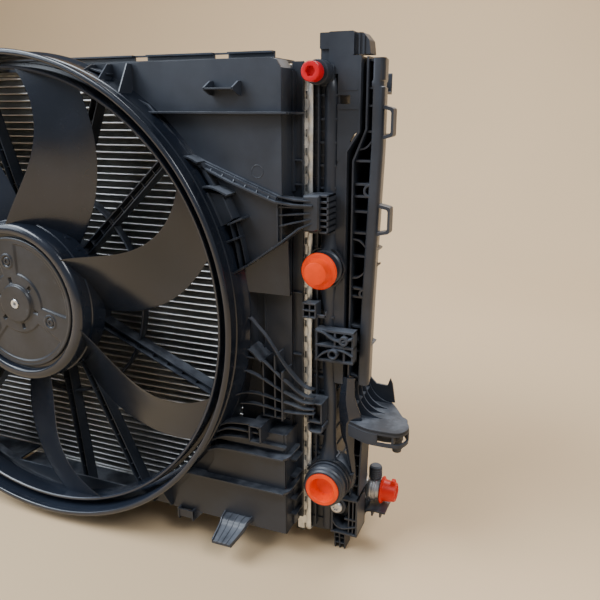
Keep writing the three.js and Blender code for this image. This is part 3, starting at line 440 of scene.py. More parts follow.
def moulded(name, colour, roughness, dust, specular):
    """Glass-filled plastic: cloudy satin skin, fine grain, flow streaks, scuffs and dust."""
    finish = Finish(name, specular=specular)
    clouds = finish.noise(14, 4, 0.6)
    streaks = finish.noise(60, 3, 0.6, stretch=(1, 1, 0.18))
    grain = finish.noise(2600, 2, 0.6)
    scuffs = finish.between(finish.noise(240, 4, 0.7, stretch=(1, 0.3, 0.12)), 0.66, 0.78)
    specks = finish.between(finish.cells(420), 0.13, 0.05)
    settled = finish.upward() * finish.between(clouds + streaks, 0.75, 1.25)
    base = finish.mix(shade(colour, 0.72), shade(colour, 1.28), finish.between(clouds, 0.3, 0.7))
    base = finish.mix(base, shade(colour, 1.7), scuffs * 0.22)
    base = finish.mix(base, (0.25, 0.27, 0.31), settled * dust + specks * clouds * dust * 0.4)
    finish.relief(grain * 0.6 + clouds * 1.4, 0.05, 0.55)
    return finish.done(colour=base, roughness=clouds * 0.2 + streaks * 0.12 + scuffs * 0.1
                       + (roughness - 0.16))


def polished(name, colour, roughness):
    """Smooth moulded plastic of the blades: even skin, soft swirls, light dust, wipe marks."""
    finish = Finish(name, specular=0.6)
    swirl = finish.noise(9, 3, 0.55)
    wipes = finish.noise(90, 4, 0.6, stretch=(0.25, 1, 1))
    specks = finish.between(finish.cells(330), 0.10, 0.04)
    base = finish.mix(shade(colour, 0.8), shade(colour, 1.35), finish.between(swirl, 0.35, 0.65))
    base = finish.mix(base, (0.22, 0.24, 0.27), specks * swirl * 0.5)
    base = finish.mix(base, shade(colour, 2.0), finish.between(wipes, 0.6, 0.8) * 0.18)
    finish.relief(finish.noise(900, 2, 0.5) * 0.2 + swirl, 0.05, 0.35)
    return finish.done(colour=base, roughness=swirl * 0.12 + wipes * 0.1 + (roughness - 0.1))


def fin_metal(name, colour):
    """Brazed aluminium tubes and fins: dull, with flux bloom and darker baked patches."""
    finish = Finish(name)
    bloom = finish.noise(22, 4, 0.65)
    fine = finish.noise(700, 3, 0.6)
    base = finish.mix(shade(colour, 0.84), shade(colour, 1.08), finish.between(bloom, 0.3, 0.72))
    base = finish.mix(base, (0.74, 0.74, 0.72), finish.between(fine, 0.62, 0.8) * 0.35)
    finish.relief(fine, 0.06, 0.5)
    return finish.done(colour=base, roughness=bloom * 0.25 + 0.34, metallic=0.85 - bloom * 0.25)


def rolled_metal(name, colour, roughness):
    """Pressed aluminium sheet: roll lines, white flux residue and small dents."""
    finish = Finish(name)
    blotch = finish.noise(55, 4, 0.65)
    lines = finish.noise(900, 2, 0.5, stretch=(1, 1, 0.03))
    dents = finish.noise(120, 2, 0.5)
    base = finish.mix(shade(colour, 0.66), shade(colour, 1.1), finish.between(blotch, 0.28, 0.62))
    base = finish.mix(base, (0.82, 0.82, 0.79), finish.between(blotch, 0.58, 0.75) * 0.6)
    finish.relief(dents * 2.2 + lines * 0.5, 0.12, 0.6)
    return finish.done(colour=base, roughness=lines * 0.14 + blotch * 0.25 + (roughness - 0.16),
                       metallic=0.85 - finish.between(blotch, 0.5, 0.75) * 0.5)


def turned_metal(name, colour, roughness, stretch=(1, 0.02, 1)):
    """Machined or drawn metal with fine tool lines and slight staining."""
    finish = Finish(name, metallic=0.8)
    lines = finish.noise(1500, 3, 0.6, stretch=stretch)
    stain = finish.noise(80, 3, 0.6)
    base = finish.mix(shade(colour, 0.7), shade(colour, 1.12), finish.between(stain, 0.3, 0.65))
    base = finish.mix(base, shade(colour, 0.5), finish.between(lines, 0.62, 0.8) * 0.35)
    finish.relief(lines, 0.04, 0.5)
    return finish.done(colour=base, roughness=stain * 0.18 + lines * 0.12 + (roughness - 0.14))


def coated_steel(name, colour, roughness):
    """Black-coated pressed steel: orange peel, rubbed spots and grey dust in the hollows."""
    finish = Finish(name, specular=0.5)
    rubbed = finish.between(finish.noise(70, 5, 0.7), 0.6, 0.78)
    haze = finish.noise(26, 4, 0.6)
    specks = finish.between(finish.cells(520), 0.12, 0.05)
    peel = finish.noise(1300, 2, 0.5)
    base = finish.mix(shade(colour, 0.8), shade(colour, 1.6), finish.between(haze, 0.35, 0.7))
    base = finish.mix(base, (0.17, 0.18, 0.20), rubbed * 0.28 + specks * haze * 0.3)
    finish.relief(peel + haze * 0.8, 0.04, 0.5)
    return finish.done(colour=base, roughness=haze * 0.22 + rubbed * 0.12 + (roughness - 0.12))


def soft_plastic(name, colour, roughness):
    """Soft coloured cap plastic: faint mould texture, small scuffs and a slight glow within."""
    finish = Finish(name, specular=0.3, subsurface=0.03)
    finish.shader.inputs["Subsurface Radius"].default_value = (0.004, 0.0015, 0.0008)
    clouds = finish.noise(60, 3, 0.55)
    marks = finish.between(finish.noise(520, 4, 0.7, stretch=(1, 0.35, 0.35)), 0.62, 0.78)
    base = finish.mix(shade(colour, 0.88), shade(colour, 1.06), finish.between(clouds, 0.3, 0.7))
    base = finish.mix(base, shade(colour, 0.62), marks * 0.25)
    finish.relief(finish.noise(1800, 2, 0.5) * 0.7 + clouds, 0.05, 0.5)
    return finish.done(colour=base, roughness=clouds * 0.16 + marks * 0.12 + (roughness - 0.08))


def rubber(name, colour):
    """Matt rubber with bloom and fine pits."""
    finish = Finish(name, specular=0.3)
    bloom = finish.noise(90, 4, 0.6)
    pits = finish.noise(1900, 2, 0.6)
    base = finish.mix(shade(colour, 0.7), shade(colour, 2.4), finish.between(bloom, 0.4, 0.75))
    finish.relief(pits + bloom, 0.06, 0.5)
    return finish.done(colour=base, roughness=bloom * 0.2 + 0.62)


def winding(name, colour):
    """Enamelled wire laid side by side: the bump follows the turns, and the colour follows them
    too, as painted shade in the grooves and painted highlight on the crests.
    """
    finish = Finish(name, metallic=1.0)
    turns = finish.node("ShaderNodeTexWave", {"bands_direction": "Z"}, {
        "Vector": finish.place, "Scale": 320.0, "Distortion": 1.2, "Detail": 1.0}, "Fac")
    heat = finish.noise(120, 3, 0.6)
    # Painted shade between the turns and painted highlight on their crests; the heat noise adds a
    # real tint.
    base = finish.mix(shade(colour, 0.55), shade(colour, 1.2), turns * 0.6 + heat * 0.4)
    finish.relief(turns, 0.3, 0.8)
    return finish.done(colour=base, roughness=heat * 0.2 + 0.26)


looks = {}


def make_looks(colours):
    """Every finish of the module: one for each slot of the record, and a few variants."""
    plastic, steel = colours.plastic, colours.bright_steel
    looks.update(
        fin_aluminium=fin_metal("fin_aluminium", shade(colours.fins, 0.8)),
        tube_metal=fin_metal("tube_metal", shade(colours.fins, 1.25)),
        plate_aluminium=rolled_metal("plate_aluminium", colours.plate, 0.38),
        cast_aluminium=fin_metal("cast_aluminium", shade(colours.fins, 0.8)),
        satin_plastic=moulded("satin_plastic", plastic, 0.38, 0.42, specular=0.5),
        dull_plastic=moulded("dull_plastic", shade(plastic, 1.2), 0.55, 0.4, specular=0.4),
        tank_plastic=moulded("tank_plastic", plastic, 0.38, 0.35, specular=0.5),
        gloss_plastic=polished("gloss_plastic", colours.blades, 0.2),
        motor_steel=coated_steel("motor_steel", colours.motor, 0.36),
        magnet=fin_metal("magnet", (0.12, 0.12, 0.13)),
        bright_steel=turned_metal("bright_steel", steel, 0.3),
        fitting_metal=turned_metal("fitting_metal", shade(steel, 1.12), 0.34, (0.02, 1, 1)),
        copper=winding("copper", colours.copper),
        orange_plastic=soft_plastic("orange_plastic", colours.orange, 0.42),
        red_plastic=soft_plastic("red_plastic", colours.red, 0.38),
        vermilion_plastic=soft_plastic("vermilion_plastic", colours.vermilion, 0.4),
        rubber=rubber("rubber", colours.rubber),
        isolator_rubber=rubber("isolator_rubber", shade(colours.rubber, 3)),
    )


# ------------------------------------------------------------------------------ core
def finned_block(low, high, pitch, tube, fin_pitch, nose, foil=0.12):
    """Tubes of rounded flat section, and between each two a zigzag strip of foil.
    low and high are the corners, pitch the tube spacing along Z, tube its thickness, and nose
    how far the tubes stand out of the fins at both faces."""
    count = int((high[2] - low[2] - tube) / pitch)
    first = (low[2] + high[2] - count * pitch) / 2
    tubes, fins = Shape(), Shape()
    middle = (low[1] + high[1]) / 2
    section = rounded([(low[1], -tube / 2), (high[1], -tube / 2),
                       (high[1], tube / 2), (low[1], tube / 2)], tube * 0.9, 3)
    folds = 2 * int((high[0] - low[0]) / fin_pitch)
    x = np.linspace(low[0] + 0.3, high[0] - 0.3, folds + 1)
    lift = (pitch - tube) / 2 - foil
    zigzag = np.where(np.arange(folds + 1) % 2, lift, -lift)
    reach = (high[1] - low[1]) / 2 - nose
    for k in range(count + 1):
        z = first + k * pitch
        tubes.prism(section + (0, z), low[0], high[0], "x")
        if k == count:
            break
        line = np.stack([x, zigzag + z + pitch / 2], axis=1)
        fins.tube(np.stack([spread(line, middle - reach, "y"), spread(line, middle + reach, "y"),
                            spread(line + (0, foil), middle + reach, "y"),
                            spread(line + (0, foil), middle - reach, "y")], axis=1))
    return tubes, fins


def channel_plate(low, high, up):
    """Folded sheet along the core: flanges at both faces, three lengthwise beads on its web."""
    sheet = 1.5
    base, top = (low[2], high[2]) if up else (high[2], low[2])
    web = base + (sheet if up else -sheet)
    y0, y1 = low[1], high[1]
    plate = Shape().prism(rounded([
        (y0, base), (y1, base), (y1, top), (y1 - sheet, top), (y1 - sheet, web),
        (y0 + sheet, web), (y0 + sheet, top), (y0, top)], 0.6, 2), low[0], high[0], "x")
    side = 1 if up else -1
    for share in (0.25, 0.5, 0.75):
        y = y0 + share * (y1 - y0)
        plate.prism(rounded([(y - 2, web - side * 0.4), (y + 2, web - side * 0.4),
                             (y + 1, web + side * 1.1), (y - 1, web + side * 1.1)], 0.5, 2),
                    low[0] + 12, high[0] - 12, "x")
    return plate


def rim_loop(low, high, corner, step):
    """Rounded rectangle in Y and Z, with points a step apart."""
    y0, z0, y1, z1 = low[1] + corner, low[2] + corner, high[1] - corner, high[2] - corner
    line = np.vstack([arc((y0, z0), corner, 270, 180, 6), arc((y0, z1), corner, 180, 90, 6),
                      arc((y1, z1), corner, 90, 0, 6), arc((y1, z0), corner, 0, -90, 6)])
    line = np.vstack([line, line[:1]])
    length = np.concatenate([[0], np.cumsum(np.linalg.norm(np.diff(line, axis=0), axis=1))])
    places = np.linspace(0, length[-1], int(length[-1] / step), endpoint=False)
    y, z = (np.interp(places, length, line[:, k]) for k in range(2))
    return np.stack([y, z], axis=1)


def header_plate(crimp_pitch):
    """Tray with a rolled rim, waved at every crimp, and the fingers between the crimp windows."""
    low, high = HEADER_LOW, HEADER_HIGH
    sheet = 2.0
    plate = Shape().block(low[0], low[0] + sheet, low[1], high[1], low[2], high[2])
    wall_out = low[0] + 9
    for y in (low[1], high[1] - sheet):
        plate.block(low[0], wall_out, y, y + sheet, low[2], high[2])
    for z in (low[2], high[2] - sheet):
        plate.block(low[0], wall_out, low[1], high[1], z, z + sheet)
    line = rim_loop(low + (0, 1, 1), high - (0, 1, 1), 5, 1.1)
    wave = np.cos(2 * np.pi * (line[:, 1] - high[2] + 11) / crimp_pitch)
    centre = np.array([(low[1] + high[1]) / 2, (low[2] + high[2]) / 2])
    outward = np.sign(line - centre) * (np.abs(line - centre) > (high - low)[1:] / 2 - 3)
    turn = np.linspace(0, 2 * np.pi, 12, endpoint=False)
    across = 3.0 + 0.45 * wave[:, None]
    x = low[0] + 13.4 - 0.35 * wave[:, None] + across * np.cos(turn)
    out = (1.35 + 0.25 * wave[:, None]) * np.sin(turn)
    y = line[:, :1] + outward[:, :1] * out
    z = line[:, 1:] + outward[:, 1:] * out
    plate.tube(np.stack([x, y, z], axis=-1), closed=True)
    count = int((high[2] - low[2] - 10) / crimp_pitch)
    for k in range(count + 1):
        z0 = high[2] - 11 - k * crimp_pitch + 3.3
        z1 = min(z0 + crimp_pitch - 6.6, high[2] - 1)
        for y in (low[1] + 0.1, high[1] - sheet - 0.1):
            plate.block(wall_out - 1, wall_out + 2.6, y, y + sheet, z0, z1)
        for z in (z0 + 1.2, z1 - 1.2):
            plate.pipe([(wall_out + 1.6, low[1] + 0.9, z - 1), (wall_out + 2.4, low[1] + 0.5, z),
                        (wall_out + 1.6, low[1] + 0.9, z + 1)], 0.7, 6)
    return plate


# ------------------------------------------------------------------------------ fan
def fan_blade(number, thickness):
    """From root (u = 0) to tip (u = 1) and from trailing to leading edge (v = -0.5 to 0.5):
    the radius grows with u, the angle sweeps back and forth with u, the chord narrows, the
    blade slopes along Y with v, and its thickness is an ellipse over v that thins with u."""
    u = np.linspace(0, 1, 31)[:, None]
    loop = np.linspace(0, 2 * np.pi, 40, endpoint=False)[None, :]
    v = -0.5 * np.cos(loop)
    radius = HUB_RADIUS - 1.5 + (RING_INSIDE + 1 - HUB_RADIUS + 1.5) * u
    middle = BLADE_START + number * 360 / FAN_BLADES - BLADE_TURN - 20.7 * u + 29 * u ** 2
    chord = 44 - 59.5 * u + 31 * u ** 2
    angle = np.radians(middle + chord * v)
    camber = 2.2 * (1 - 4 * v ** 2)
    half = thickness / 2 * (1 - 0.5 * u) * np.sin(loop) * (0.55 + 0.45 * np.abs(np.sin(loop)))
    y = -74.5 - u - (39 - 26 * u) * v + camber - 1.1 + half
    return np.stack([radius * np.cos(angle), y + 0 * radius, radius * np.sin(angle)], axis=-1)


def fan_wheel(thickness):
    """Ring, hub shell and seven blades."""
    wheel = Shape()
    flange = COVER_FACE + 2.8
    wheel.turned([
        (30, flange), (73.2, flange), (73.6, HUB_FACE + 1.6), (74.6, HUB_FACE + 0.5),
        (76.4, HUB_FACE), (79.5, HUB_FACE), (82.6, HUB_FACE + 0.9), (84.5, HUB_FACE + 2.8),
        (HUB_RADIUS, HUB_FACE + 5.6), (HUB_RADIUS, HUB_FACE + 17),
        (HUB_RADIUS + 1.1, HUB_FACE + 17.6),
        (HUB_RADIUS + 1.1, HUB_BACK - 1), (HUB_RADIUS, HUB_BACK), (HUB_RADIUS - 3, HUB_BACK),
        (HUB_RADIUS - 3, HUB_FACE + 6), (78, HUB_FACE + 3.4), (76, HUB_FACE + 5),
        (76, flange + 2.2), (30, flange + 2.2)], segments=160)
    wheel.turned([
        (RING_INSIDE, RING_FACE + 1.2), (RING_INSIDE + 0.9, RING_FACE + 0.2),
        (FAN_RADIUS - 0.8, RING_FACE), (FAN_RADIUS, RING_FACE + 0.8), (FAN_RADIUS, RING_BACK - 3),
        (FAN_RADIUS + 3.4, RING_BACK - 2.6), (FAN_RADIUS + 4, RING_BACK - 1.4),
        (FAN_RADIUS + 3.6, RING_BACK), (RING_INSIDE + 0.6, RING_BACK),
        (RING_INSIDE, RING_BACK - 0.8),
    ], segments=224)
    for number in range(FAN_BLADES):
        wheel.tube(fan_blade(number, thickness))
        roots = BLADE_START - BLADE_TURN + number * 360 / FAN_BLADES + np.array([-26, -15, 15])
        for angle, depth in zip(np.radians(roots), (9, 12, 8)):
            path = [(r * np.cos(angle), HUB_FACE + 30, r * np.sin(angle))
                    for r in (HUB_RADIUS - 1, HUB_RADIUS + 1.8)]
            wheel.pipe(path, depth / 4, 10)
    return wheel


def step_up(value, low, high):
    """0 below low, 1 above high, smooth between, for whole arrays."""
    t = np.clip((value - low) / (high - low), 0, 1)
    return t * t * (3 - 2 * t)


def cover_shape():
    """Height over a polar grid: a raised boss with slots round it, three shallow petals that
    leave a widening channel at each screw, a pad round each screw and a stepped rim."""
    radius = np.concatenate([np.linspace(5.6, 19, 8), np.linspace(19.4, 30, 18),
                             np.linspace(30.8, 70.2, 62)])
    turn = np.linspace(0, 2 * np.pi, 320, endpoint=False)[:, None]
    x, z = radius * np.cos(turn), radius * np.sin(turn)

    def about(degrees):
        """How far each point lies along a direction and to the side of it."""
        angle = math.radians(degrees)
        return (x * math.cos(angle) + z * math.sin(angle),
                np.abs(z * math.cos(angle) - x * math.sin(angle)))

    height = 3.0 * (1 - step_up(radius, 19.3, 20.6)) + 0 * x
    height += 0.5 * step_up(radius, 67.0, 67.8) - 0.9 * step_up(radius, 69.2, 70.2)
    petal = step_up(radius, 31.5, 33.0) * (1 - step_up(radius, 62.8, 64.4)) + 0 * x
    for degrees in SCREW_ANGLES:
        along, across = about(degrees)
        half = 9.5 + 0.16 * np.clip(along - 30, 0, 40)
        petal *= np.where(along > 0, step_up(across, half - 0.8, half + 0.8), 1)
        away = np.hypot(along - SCREW_CIRCLE, across)
        height += 0.8 * step_up(away, 4.9, 5.5) * (1 - step_up(away, 7.4, 8.2)) * (along > 0)
        height -= 0.7 * (1 - step_up(away, 4.9, 5.5)) * (along > 0)
    height -= 1.3 * petal
    for k in range(6):
        along, across = about(-17 + 60 * k)
        slot = step_up(along, 21.6, 22.2) * (1 - step_up(along, 27.4, 28))
        height -= 2.2 * (slot * (1 - step_up(across, 1.6, 2.1)))
    top = np.stack([x, COVER_FACE - height, z], axis=-1)
    back = COVER_FACE + 2.5
    under = np.stack([spread(np.stack([r * np.cos(turn), r * np.sin(turn)], -1), back, "y")
                      for r in (70.2, 5.6)], axis=1)[:, :, 0]
    grid = np.concatenate([top, under], axis=1)
    return Shape().add(grid, net(*grid.shape[:2], True, True))


def socket_head(centre, face, radius, depth, shank_back):
    """Pan head with a six-lobed drive recess, and its shank."""
    turn = np.linspace(0, 2 * np.pi, 48, endpoint=False)[:, None]
    lobes = 1 + 0.16 * np.cos(6 * turn)
    rings = [(0.30 * lobes, 0.55), (0.40 * lobes, 0.5), (0.44 * lobes, 0.02), (0.56, 0.0),
             (0.78, 0.06), (0.93, 0.25), (1.0, 0.5), (1.0, 1.0), (0.42, 1.02)]

    def circle(share, y):
        return spread(np.hstack([centre[0] + share * radius * np.cos(turn),
                                 centre[1] + share * radius * np.sin(turn)]), y, "y")

    columns = [circle(share, face + depth * deep) for share, deep in rings]
    grid = np.stack(columns + [circle(0.42, shank_back)], axis=1)
    rows, count = grid.shape[:2]
    cap = np.arange(rows) * count
    return Shape().add(grid, net(rows, count, True, False), np.stack([cap[::-1]]),
                       np.stack([cap + count - 1]))


def spider_shape():
    """Struts of channel section with cross ribs, between a middle ring and the shroud hoop."""
    front, back = -44, -30
    spider = Shape()
    hoop = COLLAR_OUTSIDE + 0.2
    spider.ring(hoop - 4.7, hoop, FACE + SHELL + 0.3, FACE + 12, segments=160)
    spider.ring(66, 68, front - 2, back, segments=96)
    spider.ring(71, 73, front - 2, back, segments=96)
    spider.ring(67, 72, back - 2.5, back - 0.5, segments=96)
    spider.ring(119, 121, front + 3, back - 1, segments=128)
    for degrees in range(0, 360, 20):
        way, _ = heading(degrees)
        spider.rib([way * 67.5, way * 71.5], front - 1.5, back - 1, 1.6)
    for degrees in (107, 68, 43, -23.5, -65, -84, -130, -157, 178, 143):
        way, side = heading(degrees)
        inner, outer = way * 71.5, way * (hoop - 2)
        for offset in (-4.4, 4.4):
            spider.rib([inner + side * offset, outer + side * offset * 0.8], front, back, 1.7)
        spider.rib([inner, outer], back - 3, back, 8.4, 1)
        for share in np.linspace(0.08, 0.94, 9):
            spot = inner + (outer - inner) * share
            spider.rib([spot - side * 4, spot + side * 4], front + 2.5, back - 1, 1.5)
        spider.rib([inner + (outer - inner) * 0.02, inner + (outer - inner) * 0.98],
                   front + 4, back - 1, 1.3)
    return spider


# ------------------------------------------------------------------------------ shroud
def collar_shape():
    """Throat round the fan: rounded lip, thin wall with a bead, and a foot on the panel."""
    return Shape().turned([
        (COLLAR_INSIDE, COLLAR_FACE + 1.6), (COLLAR_INSIDE + 0.7, COLLAR_FACE + 0.5),
        (COLLAR_INSIDE + 1.8, COLLAR_FACE), (COLLAR_OUTSIDE + 1.6, COLLAR_FACE + 0.2),
        (COLLAR_OUTSIDE + 2.9, COLLAR_FACE + 1.3), (COLLAR_OUTSIDE + 2.9, COLLAR_FACE + 2.6),
        (COLLAR_OUTSIDE + 1.6, COLLAR_FACE + 3.4), (COLLAR_OUTSIDE, COLLAR_FACE + 4.4),
        (COLLAR_OUTSIDE, -74), (COLLAR_OUTSIDE + 0.9, -73.4), (COLLAR_OUTSIDE + 0.9, -71.6),
        (COLLAR_OUTSIDE, -71), (COLLAR_OUTSIDE, FACE - 3), (COLLAR_OUTSIDE + 2.6, FACE - 0.4),
        (COLLAR_OUTSIDE + 2.8, FACE + SHELL), (COLLAR_INSIDE, FACE + SHELL)], segments=256)


def rim_at(z):
    """X of the panel's opening at a height."""
    return math.sqrt(THROAT ** 2 - z ** 2)


def angle_at(z):
    """Angle of the same point, in degrees."""
    return math.degrees(math.asin(z / THROAT))


def plate(shape, outline, front=FACE):
    return shape.prism(outline, front, front + SHELL)


def upper_panel(panel):
    """Face above the middle, with the diagonal ledge that runs to the upper latch."""
    low_diagonal = [(SHROUD_SIDE, 78), (253, 55.6), (rim_at(49) + 1, 49)]
    outline = np.vstack([
        arc((0, 0), THROAT, angle_at(49), angle_at(SHROUD_TOP - 1.3), 24),
        [(SHROUD_SIDE - 10, SHROUD_TOP), (SHROUD_SIDE - 4, SHROUD_TOP - 2),
         (SHROUD_SIDE, SHROUD_TOP - 9)], low_diagonal])
    plate(panel, outline)
    panel.rib([(SHROUD_SIDE - 8, SHROUD_TOP - 1.5), (SHROUD_SIDE - 1.3, SHROUD_TOP - 9),
               (SHROUD_SIDE - 1.3, 78)], FACE + 0.5, FLANGE_FACE, SHELL, 1)
    panel.rib([(SHROUD_SIDE + 1, SHROUD_TOP - 10), (SHROUD_SIDE + 1, 122)], -27, FLANGE_FACE, 3,
              0.7)
    panel.rib([(62, SHROUD_TOP - 1.3), (SHROUD_SIDE - 7, SHROUD_TOP - 1.3)], FACE + 0.5, -2, SHELL,
              1)
    # Long rib, its gusset over the flange, and the U bracket above it.
    panel.rib([(136, 192.4), (SHROUD_SIDE + 9, 192)], -60, ROOT, 2.2)
    panel.rib([(SHROUD_SIDE, 192), (SHROUD_SIDE + 10.5, 191.8)], -58, FLANGE_FACE, 2.2)
    panel.rib([(217.5, 212.5), (246.5, 212.5)], -66, ROOT, 1.8)
    for x in (218, 246):
        panel.prism([(ROOT, 206.5), (-56, 207.5), (-66, 211.5), (-66, 213.4), (-55, 219),
                     (ROOT, 219.5)], x - 0.9, x + 0.9, "x")
    panel.ring(5.2, 6.2, FACE - 0.25, ROOT, (261, 141), soft=0.2)
    panel.turned([(0, FACE - 0.3), (1.5, FACE - 0.3), (1.5, ROOT), (0, ROOT)], (257, 129),
                 segments=16)
    panel.rib([(168, 182), (194, 154.5)], -56, ROOT, 2)
    panel.rib([(128, rim_at(128) - 1.5), (150, 199), (168, 182)], -54, ROOT, 2)
    # Double diagonal ledge: a sloped face between two edges, from the hood to the latch.
    ledge = np.array([(194, 154.2), (238, 137.2), (282, 120.2), (296, 116.6), (312, 115.6)])
    panel.rib(ledge, (-53, -53, -53, -48, -43), (ROOT, ROOT, ROOT, -30, -24), 1.8)
    lower = ledge + [(4, -5.5), (-2, -5.0), (-1, -4.6), (-1, -4.2), (0, -4)]
    panel.rib(lower, (-60, -60, -59, -52, -45), (ROOT, ROOT, ROOT, -30, -24), 2)
    for k in range(7):
        x = 205 + 11.5 * k
        z = np.interp(x, ledge[:, 0], ledge[:, 1])
        panel.rib([(x, z - 0.4), (x + 0.6, z - 4.6)], (-53.5, -57.5), ROOT, 1.4)
    panel.prism(rounded([(194, 153.6), (282, 119.6), (281, 115.8), (198, 148.6)], 0.6, 2),
                -55.5, ROOT)


def upper_details(panel):
    """Hoods, bars and short ribs in the crescent between the collar and the panel."""
    hood = [(182.5, 151.2), (196, 153.4), (208.5, 148.4)]
    panel.rib(smooth(hood, 5), -66, ROOT, 2.2)
    panel.rib([(183, 150.5), (187, 141)], -60, ROOT, 1.8)
    panel.rib([(208, 147.6), (215, 136), (222.5, 124.6)], -60, ROOT, 3.2)
    panel.rib([(203, 149), (210.5, 136.5), (217, 126.5)], -57, ROOT, 1.6)
    panel.rib(smooth([(205, 123.4), (214, 126.8), (224, 126.2), (238.5, 120.6)], 4), -67, ROOT, 2.2)
    panel.prism(rounded([(216.2, 122), (233.5, 120), (242, 99), (230.6, 91.4)], 2, 3), -61, ROOT)
    panel.rib([(216.6, 121.5), (230, 91.5)], -65, ROOT, 2.6)
    panel.rib([(233, 118), (242, 99)], -64.5, ROOT, 1.6)
    panel.rib([(236.8, 93.4), (251.8, 100.2)], -65, ROOT, 2.2)
    panel.rib([(227.6, 74.2), (247, 81.8)], -65, ROOT, 2.2)
    panel.rib([(237.4, 92.5), (243, 72), (246.5, 52)], -60, ROOT, 2)
    panel.rib([(242, 94), (247.5, 74), (251, 57)], -57, ROOT, 1.6)
    panel.rib([(233.6, 43), (253.2, 55.4)], (-68, -66), ROOT, 2.2)
    panel.rib([(253.2, 55.4), (SHROUD_SIDE, 78), (300, 91), (312.5, 96.5)],
              (-60, -56, -48, -43), (ROOT, -42, -28, -24), 2)
    for z0, z1 in ((110.6, 110.2), (102.8, 105), (92.6, 100)):
        panel.rib([(SHROUD_SIDE - 4, z0), (299, z0 + (z1 - z0) * 0.6), (312, z1)],
                  (-52, -49, -43), (-40, -26, -24), 1.7)
    panel.rib([(SHROUD_SIDE - 3.6, 119), (SHROUD_SIDE - 3.6, 79)], FACE - 3, ROOT, 2)


def middle_pocket(pocket):
    """Collar edge, slanted panel, deep pocket with its walls, and the ribs that fan out of it
    to the lower latch."""
    outer = [(247, 49), (247, -32), (243.6, -45), (238, -64), (234, -90), (227, -104), (222, -119),
             (222, -140)]
    inner = arc((0, 0), THROAT, angle_at(-140), angle_at(49), 24)
    plate(pocket, np.vstack([inner, outer]))
    plate(pocket, [(228, -121), (228, -90), (236, -60), (245, -30), (245, 50), (253, 56),
                   (SHROUD_SIDE, 79), (SHROUD_SIDE, -121)], POCKET_FLOOR)
    pocket.rib(np.array(outer[1:7]), FACE + 0.5, POCKET_FLOOR + 1, 2.2, 1)
    pocket.rib([(247, 49), (247, -32)], FACE + 0.5, POCKET_FLOOR + 1, 2.2, 1)
    pocket.rib([(222, -119.5), (SHROUD_SIDE, -119.5)], FACE + 0.5, POCKET_FLOOR + 1, 2.2, 1)
    pocket.rib([(SHROUD_SIDE - 1.2, 80), (SHROUD_SIDE - 1.2, -120)], POCKET_FLOOR + 0.4,
               FLANGE_FACE, 2.4, 1)
    # Slanted panel: its left edge at the face, its right edge near the pocket floor.
    corners = np.array([(246.6, -50, 27.5), (SHROUD_SIDE, -32, 22), (SHROUD_SIDE, -36, 79),
                        (253, -50, 56), (246.6, -50, 51)])
    pocket.tube([corners, corners + (0, 2.4, 0)])
    closing = np.array([(246.6, -50, 27.5), (SHROUD_SIDE, -32, 22), (SHROUD_SIDE, -27, 22.5),
                        (246.6, -27, 28)])
    pocket.tube([closing, closing + (0, 0, 2)])
    pocket.rib([(247.2, 28), (257, 23), (257, -30), (250, -60)], -30, POCKET_FLOOR + 0.6, 1.4)
    fans = (
        [(240.4, -0.7), (248.5, 2.2), (258, -6.5), (270, -19.6), (290.5, -50), (304, -64.6),
         (314, -68)],
        [(232.8, -40.8), (247, -39.5), (261.5, -41), (274.4, -50.4), (287, -61), (303, -74.4),
         (314, -76.5)],
        [(224.6, -69.6), (242, -55.4), (250, -56), (262.5, -60.5), (288, -73.6), (303, -81.8),
         (314, -82.5)],
        [(221.4, -88.7), (233, -82), (245.4, -77.9), (261, -77.6), (287, -83.2), (303, -88.8),
         (314, -89)],
        [(238.8, -90.4), (250, -89), (263.2, -89.7), (277, -91.5), (292.5, -93.6), (304, -94),
         (314, -94)],
    )
    for line in fans:
        run = smooth(line, 4)
        front = np.interp(run[:, 0], (220, 240, 284, 300, 314), (-58, -52, -50, -46, -42))
        back = np.interp(run[:, 0], (220, 246, 248, 284, 288, 314), (-49, -49, -46, -46, -42, -36))
        pocket.rib(run, front, back, 1.4)
    pocket.rib(smooth([(247.5, -31), (253, -34), (258, -39), (262, -42.5)], 4), -52, -26, 1.8)
    for x, high in ((263, -40.6), (275.5, -34.6)):
        pocket.rib([(x, high), (x, -101)], -49, -26, 1.8)
    pocket.rib([(SHROUD_SIDE - 1, -50), (SHROUD_SIDE - 1, -102)], -51, -22, 2)
    pocket.rib([(262, -100.8), (SHROUD_SIDE, -101.2)], -48, -26, 1.8)
    pocket.rib([(270, -110.5), (SHROUD_SIDE - 2, -112)], -29, POCKET_FLOOR + 0.6, 1.2)
    # Lower clip: three curved ribs that end in a framed box, and the bar below it.
    for line in ([(214.6, -116.8), (222, -112.4), (230, -109.2), (245, -107.2), (266, -106.6)],
                 [(210.4, -125), (221, -119), (231, -115.4), (252, -114.8), (262, -114.8)],
                 [(203.6, -137), (216, -129), (227, -125), (245, -123.4), (266, -122.8)]):
        pocket.rib(smooth(line, 5), -62, ROOT, 1.8)
    for x in (254.8, 266.6):
        pocket.rib([(x, -106), (x, -123.4)], -66, -27, 1.8)
    pocket.rib([(254, -106.2), (267.4, -106.2)], -66, -27, 1.8)
    pocket.rib([(254, -123), (267.4, -123)], -66, FACE, 1.8)
    pocket.rib([(258.5, -109), (262.5, -112), (262.5, -118)], -60, -40, 1.2)
    bar = [(212, -133.4), (286, -133), (289, -130.6), (286, -129), (214, -127.6)]
    pocket.prism(rounded(bar, 1, 3), -55, ROOT)


